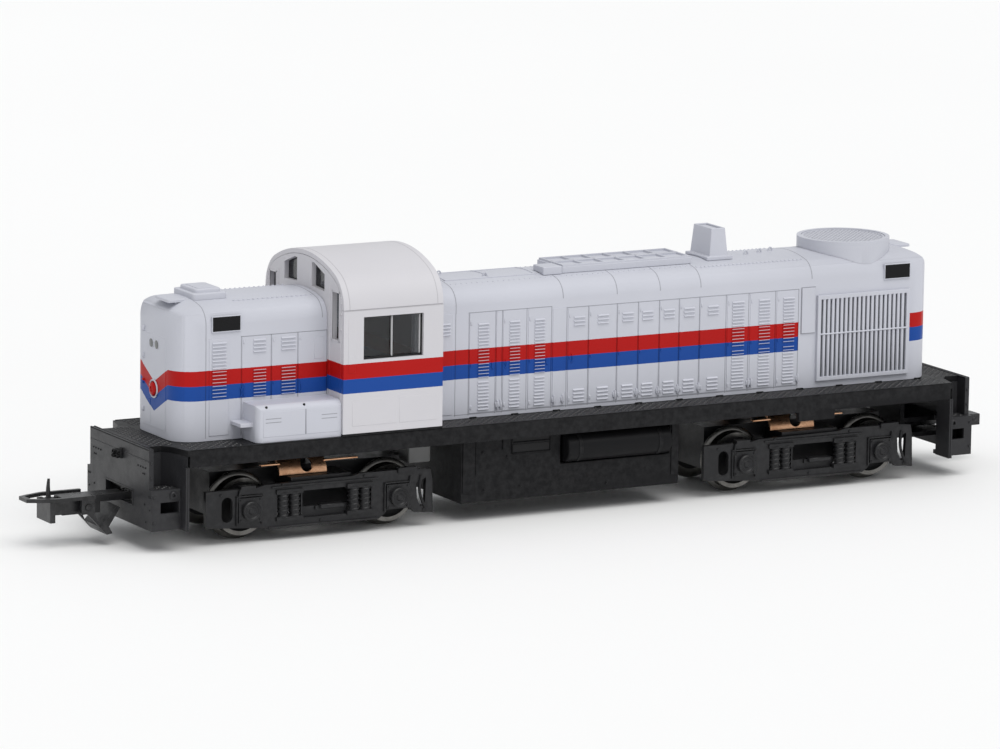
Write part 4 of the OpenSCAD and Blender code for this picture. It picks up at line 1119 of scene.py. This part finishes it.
def end_sheet_trim():
    """Fittings of the +X end sheet: one shape in the sheet's grey, black lifted to paint the sheen of its lit
    face, one of darker rivets and sockets.
    """
    low, high = span("front_pilot")
    face, half, top = high[0], 13.4, high[2]
    strips = blocks([(face - 0.1, -half, 17.95), (face - 1.0, -half, top - 0.3),
                     (face - 0.25, -half, top - 0.2)],
                    [(face + 0.1, half, 18.2), (face - 0.75, half, top + 0.12),
                     (face, half, top + 0.12)], 0.05)
    # the lower bolts stand on the step well's side, which is further out than the sheet's
    sides = [(face - 0.5, 14.8 if z < 12.7 else 13.5, z) for z in (17.9, 14.8, 11.2, 6.2)]
    bolts = mirrored(rivets(sides, (0, 1, 0), 0.3, 0.3))
    opening = [(6.0, 6.35, 8.2, 11.4), (-6.35, -6.0, 8.2, 11.4), (-6.35, 6.35, 11.2, 11.5)]
    frame_strips = blocks([(face - 0.1, y, z) for y, _, z, _ in opening],
                          [(face + 0.12, y, z) for _, y, _, z in opening], 0.05)
    ring = turned([(0.75, -0.1), (0.75, 0.35), (0.6, 0.45), (0.36, 0.4), (0.36, 0.05), (0.0, 0.05)],
                  (89.4, 14.8, 11.4), (0, 1, 0), 24)
    spots = [(y, 16.6) for y in (8.6, 9.7, 10.8, 11.9)]
    spots += [(10.8, 15.4), (11.5, 15.4), (13.6, 11.2), (14.2, 11.2), (13.9, 8.6), (11.6, 9.4), (12.2, 6.0)]
    heads = mirrored(rivets([(face, y, z) for y, z in spots], (1, 0, 0), 0.2, 0.16))
    bracket = blocks([(face - 0.1, 0.5, 16.7), (face - 0.1, -3.2, 16.8)],
                     [(face + 0.5, 1.7, 18.7), (face + 0.35, 0.6, 17.4)], 0.12)
    socket = [(0.42, -0.1), (0.42, 0.9), (0.3, 1.0), (0.26, 0.5), (0.0, 0.45)]
    sockets = [turned(socket, (face + 0.2, y, z), (1, 0, 0), 20)
               for y, z in ((1.1, 18.1), (0.9, 17.1), (-0.6, 17.9), (-0.8, 17.0))]
    return join(strips, bolts, frame_strips, mirrored(ring)), join(heads, bracket, *sockets)


def dress_end_sheets():
    """End sheets with their fittings, step treads and coupler pockets, alike at both ends."""
    trim, dark = end_sheet_trim()
    steps = mirrored(join(*(tread(87.6, 92.6, 11.4, 14.0, z, 0.8) for z in (12.6, 5.3))))
    for end, flip in (("front", lambda shape: shape), ("rear", end_for_end)):
        # the end sheets are black moulding lifted to a grey that paints the sheen of their lit faces
        softened(end + "_pilot", "pilot_grey", 0.1)
        piece(end + "_sheet_trim", flip(trim), "pilot_grey")
        piece(end + "_sheet_rivets", flip(dark), "window_rubber")
        # step treads in the same lifted black that paints glints on the lozenges
        piece(end + "_step_tread", flip(steps), "tread_glint_black", smooth=0)
    softened("coupler_pockets", "black_chassis", 0.1)


def dress_tank():
    """Fuel tank, air reservoirs with straps, and the small fittings on the tank's side."""
    softened("fuel_tank", "black_chassis", 0.18, segments=3)
    softened("air_reservoirs", "black_chassis", 0.5, segments=4)
    low, high = span("fuel_tank")
    wall = high[1]
    plates = [(high[0] - 0.3, high[0] - 3.0, 6.0, 18.6), (5.5, 14.4, 13.2, 13.45), (5.5, 14.4, 17.3, 17.55),
              (5.5, 5.75, 13.2, 17.5), (14.15, 14.4, 13.2, 17.5), (5.7, 14.2, 15.2, 15.6),
              (14.9, 16.5, 14.3, 17.1), (17.2, 22.2, 17.3, 17.6), (low[0] + 0.2, low[0] + 1.9, 6.0, 18.6)]
    heads = [(21.0, 14.0), (20.6, 6.4), (12.4, 6.6), (-7.4, 5.6), (-22.8, 8.0), (15.4, 12.9)]
    shapes = [side_plates(plates, wall, 0.28, 0.08),
              side_plates([(22.3, 22.55, 9.6, 16.3)], wall, 0.12, 0.04),
              mirrored(rivets([(x, wall, z) for x, z in heads], (0, 1, 0), 0.28, 0.2))]
    low, high = span("air_reservoirs")
    radius = (high[2] - low[2]) / 2
    angle = np.linspace(-0.35 * np.pi, 0.35 * np.pi, 13)
    out = points_at(0.0, np.cos(angle), np.sin(angle))
    for x in (-18.6, -0.2):
        path = (x, high[1] - radius, (high[2] + low[2]) / 2) + radius * out
        shapes.append(mirrored(swept(path, (1, 0, 0), out, slab(0.8, 0.14))))
    piece("tank_fittings", join(*shapes), "black_chassis")
    recesses = [(5.8, 14.1, 13.5, 15.1), (5.8, 14.1, 15.7, 17.2), (17.3, 22.1, 17.6, 18.9)]
    dark = blocks([(x, wall - 0.1, z) for x, _, z, _ in recesses],
                  [(x, wall + 0.06, z) for _, x, _, z in recesses], 0.03)
    piece("tank_slots", mirrored(dark), "window_rubber")


# ---------------------------------------------------------------- trucks and wheels

SIDEFRAME = 13.4  # outer face of the sideframes


def middle_of(*nodes):
    """Middle of the box round several nodes of like size."""
    return sum(sum(span(node)) for node in nodes) / 2 / len(nodes)


def truck_trim():
    """Springs, journal lids, hangers and brake gear of one truck about its own centre, on both sides."""
    front, rear = middle_of("wheelset_1"), middle_of("wheelset_2")
    half_base, axle = (front[0] - rear[0]) / 2, front[2]
    inside = SIDEFRAME - 0.1
    # springs: x = centre + r cos t, y = 13.1 + 0.95 r sin t, rising evenly with t
    coil = np.linspace(0, 9 * np.pi, 72)
    radius = 1.02
    shapes = [tube(points_at(x + radius * np.cos(coil), 13.1 + radius * np.sin(coil) * 0.95,
                             RAIL + 3.9 + coil / coil[-1] * 4.3), 0.24, 7)
              for x in (-9.25, -6.75, 6.25, 8.75)]
    lid = [(1.9, -0.1), (1.9, 0.2), (1.7, 0.38), (1.45, 0.3), (1.3, 0.12), (0.75, 0.12), (0.6, 0.3),
           (0.0, 0.34)]
    for x in (-half_base, half_base):
        corners = [(x + a, SIDEFRAME + 0.7, axle + b) for a in (-2.1, 2.1) for b in (-2.0, 2.1)]
        shapes.append(turned(lid, (x, SIDEFRAME + 1.3, axle), (0, 1, 0), 36))
        shapes.append(rivets(corners, (0, 1, 0), 0.26, 0.22))
        # pedestal edges in front of and behind the journal, and a bar over it, as (x0, x1, z0, z1)
        pedestal = [(x - 2.9, x - 2.55, -3.0, 2.9), (x + 2.55, x + 2.9, -3.0, 2.9),
                    (x - 2.9, x + 2.9, 2.6, 2.95)]
        shapes.append(blocks([(a, inside, axle + z) for a, _, z, _ in pedestal],
                             [(b, SIDEFRAME + 0.45, axle + z) for _, b, _, z in pedestal], 0.1))
    edge = SIDEFRAME + 0.3
    shapes += [blocks([(-12.0, inside, RAIL + 9.6), (-12.0, inside, RAIL + 1.55)],
                      [(11.4, edge, RAIL + 10.0), (12.0, edge, RAIL + 1.95)], 0.08),
               blocks([(-4.6, SIDEFRAME - 1.6, RAIL + 4.6)], [(0.6, SIDEFRAME + 0.15, RAIL + 5.5)], 0.15)]
    for x, z in ((half_base + 2.0, RAIL + 10.0), (-half_base - 3.0, RAIL + 9.6)):
        y = SIDEFRAME + 0.25
        shapes.append(tube([(x, y, z), (x + 0.25, y + 0.1, z - 1.2), (x + 0.5, y, z - 2.4)], 0.26, 8))
    way = np.linspace(0, 1, 12)
    link = points_at(-half_base - 5.4 + 0.9 * np.sin(way * np.pi) - 1.2 * way, SIDEFRAME + 0.1,
                     RAIL + 9.6 - 7.0 * way)
    shapes.append(tube(link, 0.32, 8))
    heads = [(0.6, 2.4), (-9.0, 10.4), (9.0, 10.1), (22.4, 9.2), (-22.2, 2.6)]
    shapes.append(rivets([(x, SIDEFRAME, RAIL + z) for x, z in heads], (0, 1, 0), 0.3, 0.24))
    return mirrored(join(*shapes))


def dress_trucks():
    """Both trucks: frames, sideframes with springs and journals, contact strips and wheels."""
    trim = truck_trim()
    for end, wheels in (("front", ("wheelset_1", "wheelset_2")), ("rear", ("wheelset_3", "wheelset_4"))):
        centre, body = middle_of(*wheels)[0], end + "_truck"
        # sideframes, truck frame and truck trim: black lifted to paint the satin sheen of the sideframes
        softened(end + "_sideframes", "truck_sheen_black", 0.1)
        softened(end + "_truck_frame", "truck_sheen_black", 0.2)
        softened(end + "_contacts", "copper", 0.05)
        piece(end + "_truck_trim", (trim[0] + (centre, 0, 0), trim[1]), "truck_sheen_black", body)
        tails = blocks([(centre - 9.6, 8.6, RAIL + 13.3), (centre + 7.6, 8.6, RAIL + 13.3)],
                       [(centre - 2.0, 9.5, RAIL + 13.6), (centre + 11.8, 9.5, RAIL + 13.6)], 0.05)
        piece(end + "_contact_tails", mirrored(tails), "copper", body)
        for node in wheels:
            wheel_pair(node)


def wheel_pair(node):
    """Axle and two wheels, turned from closed profiles: tread and rounded flange, dished face and hub."""
    low, high = span(node)
    centre = (low + high) / 2
    flange = (high[0] - low[0]) / 2
    tread_r, axle_r = flange - RAIL, 1.0
    inner, outer = 7.25, 10.05
    rim = [(tread_r - 0.9, outer - 0.05), (tread_r - 0.08, outer), (tread_r, outer - 0.12),
           (tread_r, inner + 1.3),
           (tread_r + 0.12, inner + 0.86), (flange - 0.25, inner + 0.7), (flange, inner + 0.42),
           (flange - 0.1, inner + 0.12), (flange - 0.5, inner), (tread_r - 0.9, inner)]
    face = [(tread_r - 0.9, inner + 0.02), (1.9, inner + 0.35), (1.0, inner + 0.1), (0.9, inner + 0.1),
            (0.9, outer - 0.1), (1.9, outer - 0.15), (2.1, outer - 0.6), (3.6, outer - 0.75),
            (tread_r - 1.2, outer - 0.45), (tread_r - 0.9, outer - 0.06)]

    def rings(profile):
        shapes = (turned(profile + profile[:1], centre, (0, side, 0), 72) for side in (-1, 1))
        return [(verts, faces[:1]) for verts, faces in shapes]

    rod = turned([(0.0, low[1]), (0.35, low[1]), (axle_r, low[1] + 0.7), (axle_r, high[1] - 0.7),
                  (0.35, high[1]), (0.0, high[1])], centre * (1, 0, 1), (0, 1, 0), 32)
    metal = right_way(join(*rings(rim), rod))
    piece(node + "_rims", metal, "wheel_metal", node, stands_for=node)
    piece(node + "_centres", right_way(join(*rings(face))), "wheel_black", node)


# ---------------------------------------------------------------- couplers and inside


def dress_couplers():
    """Coupler shank, loop and hook at the short hood end and the plain stub at the other."""
    softened("front_coupler", "coupler_plastic", 0.15, segments=3)
    softened("coupler_loop", "coupler_plastic", 0.12)
    softened("rear_drawbar", "coupler_plastic", 0.2, segments=3)
    low, high = span("coupler_hook")
    x, foot = (low[0] + high[0]) / 2, low[2]
    # the pin bends forward by a half sine as it rises and tapers evenly
    rise, sides = np.linspace(0, 1, 10), 12
    path = points_at(x + 0.12 * np.sin(rise * np.pi), 0.0, foot - 0.02 + rise * (high[2] - foot - 0.05))
    round_ = np.c_[on_circle(full_turn(sides)), np.zeros(sides)]
    verts = (path[:, None] + (0.56 - 0.3 * rise)[:, None, None] * round_).reshape(-1, 3)
    pin = verts, [grid_quads(len(rise), sides, False, True)] + caps(len(rise), sides)
    piece("coupler_hook_pin", pin, "coupler_plastic", "front_coupler", stands_for="coupler_hook")
    collar = turned([(0.95, 0.0), (0.95, 0.3), (0.8, 0.42), (0.5, 0.45)], (x, 0, foot), (0, 0, 1), 24)
    piece("coupler_hook_collar", collar, "coupler_plastic", "front_coupler")
    low, high = span("rear_drawbar")
    nubs = rivets([(low[0] + 1.4, high[1], (low[2] + high[2]) / 2)], (0, 1, 0), 0.5, 0.2)
    piece("drawbar_rivets", mirrored(nubs), "coupler_plastic", "rear_drawbar")


def dress_inside():
    """The plain blocks inside the body."""
    softened("drive_weight", "weight_metal", 0.3)
    softened("motor_mount", "motor_grey", 0.3)


# ---------------------------------------------------------------- stage


def build_stage(stage):
    """Pale floor, soft light and the camera."""
    size = stage.floor_size / 2
    floor = bpy.data.meshes.new("studio_floor")
    corners = [(-size, -size, 0), (size, -size, 0), (size, size, 0), (-size, size, 0)]
    floor.from_pydata(corners, [], [(0, 1, 2, 3)])
    ground = bpy.data.objects.new("studio_floor", floor)
    bpy.context.scene.collection.objects.link(ground)
    paper = bpy.data.materials.new("studio_paper")
    paper.use_nodes = True
    w = Wiring(paper.node_tree)
    shader = paper.node_tree.nodes["Principled BSDF"]
    cloud = w.noise(w.place(), 3.0)
    w.link(w.mix(cloud, (0.93, 0.93, 0.93, 1), (0.9, 0.9, 0.9, 1)), shader.inputs["Base Color"])
    shader.inputs["Roughness"].default_value = 0.8
    shader.inputs["Specular IOR Level"].default_value = 0.1
    floor.materials.append(paper)

    world = bpy.data.worlds.new("studio")
    bpy.context.scene.world = world
    world.use_nodes = True
    world.node_tree.nodes["Background"].inputs[0].default_value = (0.97, 0.985, 1.0, 1)
    world.node_tree.nodes["Background"].inputs[1].default_value = stage.fill
    sun = bpy.data.lights.new("key", "SUN")
    sun.energy = stage.key
    sun.angle = math.radians(50)
    sun.color = (1.0, 0.99, 0.97)
    key = bpy.data.objects.new("key", sun)
    key.rotation_mode = "QUATERNION"
    key.rotation_quaternion = Vector((0.06, -0.52, -0.95)).to_track_quat("-Z", "Y")
    bpy.context.scene.collection.objects.link(key)

    yaw, pitch, roll = stage.yaw, stage.pitch, stage.roll
    forward = Vector((-math.sin(yaw) * math.cos(pitch), -math.cos(yaw) * math.cos(pitch), -math.sin(pitch)))
    right = Vector((-math.cos(yaw), math.sin(yaw), 0.0))
    up = right.cross(forward)
    turned_right = math.cos(roll) * right + math.sin(roll) * up
    turned_up = math.cos(roll) * up - math.sin(roll) * right
    camera = bpy.data.cameras.new("camera")
    camera.lens = stage.lens
    camera.sensor_width = 36.0
    camera.sensor_fit = "HORIZONTAL"
    camera.clip_start, camera.clip_end = 0.01, 50.0
    view = bpy.data.objects.new("camera", camera)
    place = Matrix((turned_right, turned_up, -forward)).transposed().to_4x4()
    place.translation = Vector(stage.camera_place)
    view.matrix_world = place
    bpy.context.scene.collection.objects.link(view)
    bpy.context.scene.camera = view
    bpy.context.scene.view_settings.view_transform = "Standard"


# ---------------------------------------------------------------- add-on


def colour_setting(name, description, default):
    """A colour setting of the panel."""
    return bpy.props.FloatVectorProperty(name=name, description=description, subtype="COLOR",
                                         default=default, min=0, max=1)


def length_setting(name, description, default):
    """A length setting of the panel, in metres."""
    return bpy.props.FloatProperty(name=name, description=description, default=default, unit="LENGTH")


def number_setting(name, description, default):
    """A plain number of the panel."""
    return bpy.props.FloatProperty(name=name, description=description, default=default)


def angle_setting(name, description, degrees):
    """An angle of the panel."""
    return bpy.props.FloatProperty(name=name, description=description, subtype="ANGLE",
                                   default=math.radians(degrees))


class LocoFinish(bpy.types.PropertyGroup):
    """Colours and heights of the printed finish."""

    body_white: colour_setting("Hood White", "Colour of the hoods", (0.56, 0.57, 0.63))
    cab_white: colour_setting("Cab White", "Colour of the cab", (0.61, 0.60, 0.63))
    upper_band: colour_setting("Upper Band", "Colour of the upper printed band", (0.43, 0.007, 0.006))
    lower_band: colour_setting("Lower Band", "Colour of the lower printed band", (0.011, 0.065, 0.31))
    chassis_black: colour_setting("Chassis Black", "Colour of the moulded underframe", (0.008, 0.008, 0.009))
    band_top: length_setting("Band Top", "Top of the upper band on the hoods, over the floor", 0.0344)
    band_middle: length_setting("Band Middle", "Line between the two bands", 0.0314)
    band_foot: length_setting("Band Foot", "Bottom of the lower band", 0.0285)


class LocoStage(bpy.types.PropertyGroup):
    """Floor, lights and camera."""

    floor_size: length_setting("Floor Size", "Side of the square floor", 12.0)
    fill: number_setting("Fill", "Strength of the even light from all round", 0.62)
    key: number_setting("Key", "Strength of the soft key light", 1.7)
    lens: number_setting("Lens", "Focal length in millimetres", 222.43)
    yaw: angle_setting("Yaw", "Turn of the camera from the locomotive's left side towards its front", 28.651)
    pitch: angle_setting("Pitch", "Downward tilt of the camera", 10.441)
    roll: angle_setting("Roll", "Roll of the camera", 0.799)
    camera_place: bpy.props.FloatVectorProperty(name="Camera Place", description="Position of the camera",
                                                default=(0.590851, 1.073124, 0.251972), subtype="XYZ",
                                                unit="LENGTH")


class LocoOperator:
    """Common parts of the building operators."""

    bl_options = {"REGISTER", "UNDO"}


class LOCO_OT_finishes(LocoOperator, bpy.types.Operator):
    """Make all plastic, glass and metal finishes"""

    bl_idname = "loco.finishes"
    bl_label = "Finishes"

    def execute(self, context):
        make_materials(context.scene.loco_finish)
        return {"FINISHED"}


class LOCO_OT_hoods(LocoOperator, bpy.types.Operator):
    """Dress both hoods with doors, louvres, latches and roof fittings"""

    bl_idname = "loco.hoods"
    bl_label = "Hoods"

    def execute(self, context):
        dress_hoods()
        return {"FINISHED"}


class LOCO_OT_ends(LocoOperator, bpy.types.Operator):
    """Add lamps, boss, panel and hinges to the hood ends"""

    bl_idname = "loco.ends"
    bl_label = "Hood Ends"

    def execute(self, context):
        dress_ends()
        return {"FINISHED"}


class LOCO_OT_radiators(LocoOperator, bpy.types.Operator):
    """Build the radiator bars, filter panels, number boards and fan mesh"""

    bl_idname = "loco.radiators"
    bl_label = "Radiators and Fan"

    def execute(self, context):
        dress_radiators()
        return {"FINISHED"}


class LOCO_OT_cab(LocoOperator, bpy.types.Operator):
    """Dress the cab with its windows, gutter and seams"""

    bl_idname = "loco.cab"
    bl_label = "Cab"

    def execute(self, context):
        dress_cab()
        return {"FINISHED"}


class LOCO_OT_battery_boxes(LocoOperator, bpy.types.Operator):
    """Add doors, vents and knobs to the battery boxes"""

    bl_idname = "loco.battery_boxes"
    bl_label = "Battery Boxes"

    def execute(self, context):
        dress_battery_boxes()
        return {"FINISHED"}


class LOCO_OT_deck(LocoOperator, bpy.types.Operator):
    """Dress the deck with tread plates and sill fittings"""

    bl_idname = "loco.deck"
    bl_label = "Deck"

    def execute(self, context):
        dress_deck()
        return {"FINISHED"}


class LOCO_OT_end_sheets(LocoOperator, bpy.types.Operator):
    """Dress the end sheets and step wells"""

    bl_idname = "loco.end_sheets"
    bl_label = "End Sheets"

    def execute(self, context):
        dress_end_sheets()
        return {"FINISHED"}


class LOCO_OT_tank(LocoOperator, bpy.types.Operator):
    """Dress the fuel tank and air reservoirs"""

    bl_idname = "loco.tank"
    bl_label = "Fuel Tank"

    def execute(self, context):
        dress_tank()
        return {"FINISHED"}


class LOCO_OT_trucks(LocoOperator, bpy.types.Operator):
    """Build springs, journals, contact strips and wheels of both trucks"""

    bl_idname = "loco.trucks"
    bl_label = "Trucks"

    def execute(self, context):
        dress_trucks()
        return {"FINISHED"}


class LOCO_OT_couplers(LocoOperator, bpy.types.Operator):
    """Dress the coupler, its hook and loop, and the rear stub"""

    bl_idname = "loco.couplers"
    bl_label = "Couplers"

    def execute(self, context):
        dress_couplers()
        return {"FINISHED"}


class LOCO_OT_inside(LocoOperator, bpy.types.Operator):
    """Finish the weight and the motor bracket inside the body"""

    bl_idname = "loco.inside"
    bl_label = "Inside"

    def execute(self, context):
        dress_inside()
        return {"FINISHED"}


class LOCO_OT_stage(LocoOperator, bpy.types.Operator):
    """Set up the floor, the lights and the camera"""

    bl_idname = "loco.stage"
    bl_label = "Stage"

    def execute(self, context):
        build_stage(context.scene.loco_stage)
        return {"FINISHED"}


OPERATORS = (LOCO_OT_finishes, LOCO_OT_hoods, LOCO_OT_ends, LOCO_OT_radiators, LOCO_OT_cab,
             LOCO_OT_battery_boxes, LOCO_OT_deck, LOCO_OT_end_sheets, LOCO_OT_tank, LOCO_OT_trucks,
             LOCO_OT_couplers, LOCO_OT_inside, LOCO_OT_stage)


class LOCO_PT_panel(bpy.types.Panel):
    """Sidebar panel with the finish settings and one button for each group of pieces"""

    bl_idname = "LOCO_PT_panel"
    bl_label = "Locomotive"
    bl_space_type = "VIEW_3D"
    bl_region_type = "UI"
    bl_category = "Locomotive"

    def draw(self, context):
        for group in (context.scene.loco_finish, context.scene.loco_stage):
            for name in group.__annotations__:
                self.layout.prop(group, name)
        for operator in OPERATORS:
            self.layout.operator(operator.bl_idname)


CLASSES = (LocoFinish, LocoStage) + OPERATORS + (LOCO_PT_panel,)


def register():
    """Register the classes and their settings."""
    for cls in CLASSES:
        bpy.utils.register_class(cls)
    bpy.types.Scene.loco_finish = bpy.props.PointerProperty(type=LocoFinish)
    bpy.types.Scene.loco_stage = bpy.props.PointerProperty(type=LocoStage)


def unregister():
    """Remove the settings and the classes."""
    del bpy.types.Scene.loco_stage
    del bpy.types.Scene.loco_finish
    for cls in reversed(CLASSES):
        bpy.utils.unregister_class(cls)


def main():
    """Build every group of pieces in order."""
    register()
    for operator in OPERATORS:
        group, name = operator.bl_idname.split(".")
        getattr(getattr(bpy.ops, group), name)()


if __name__ == "__main__":
    main()
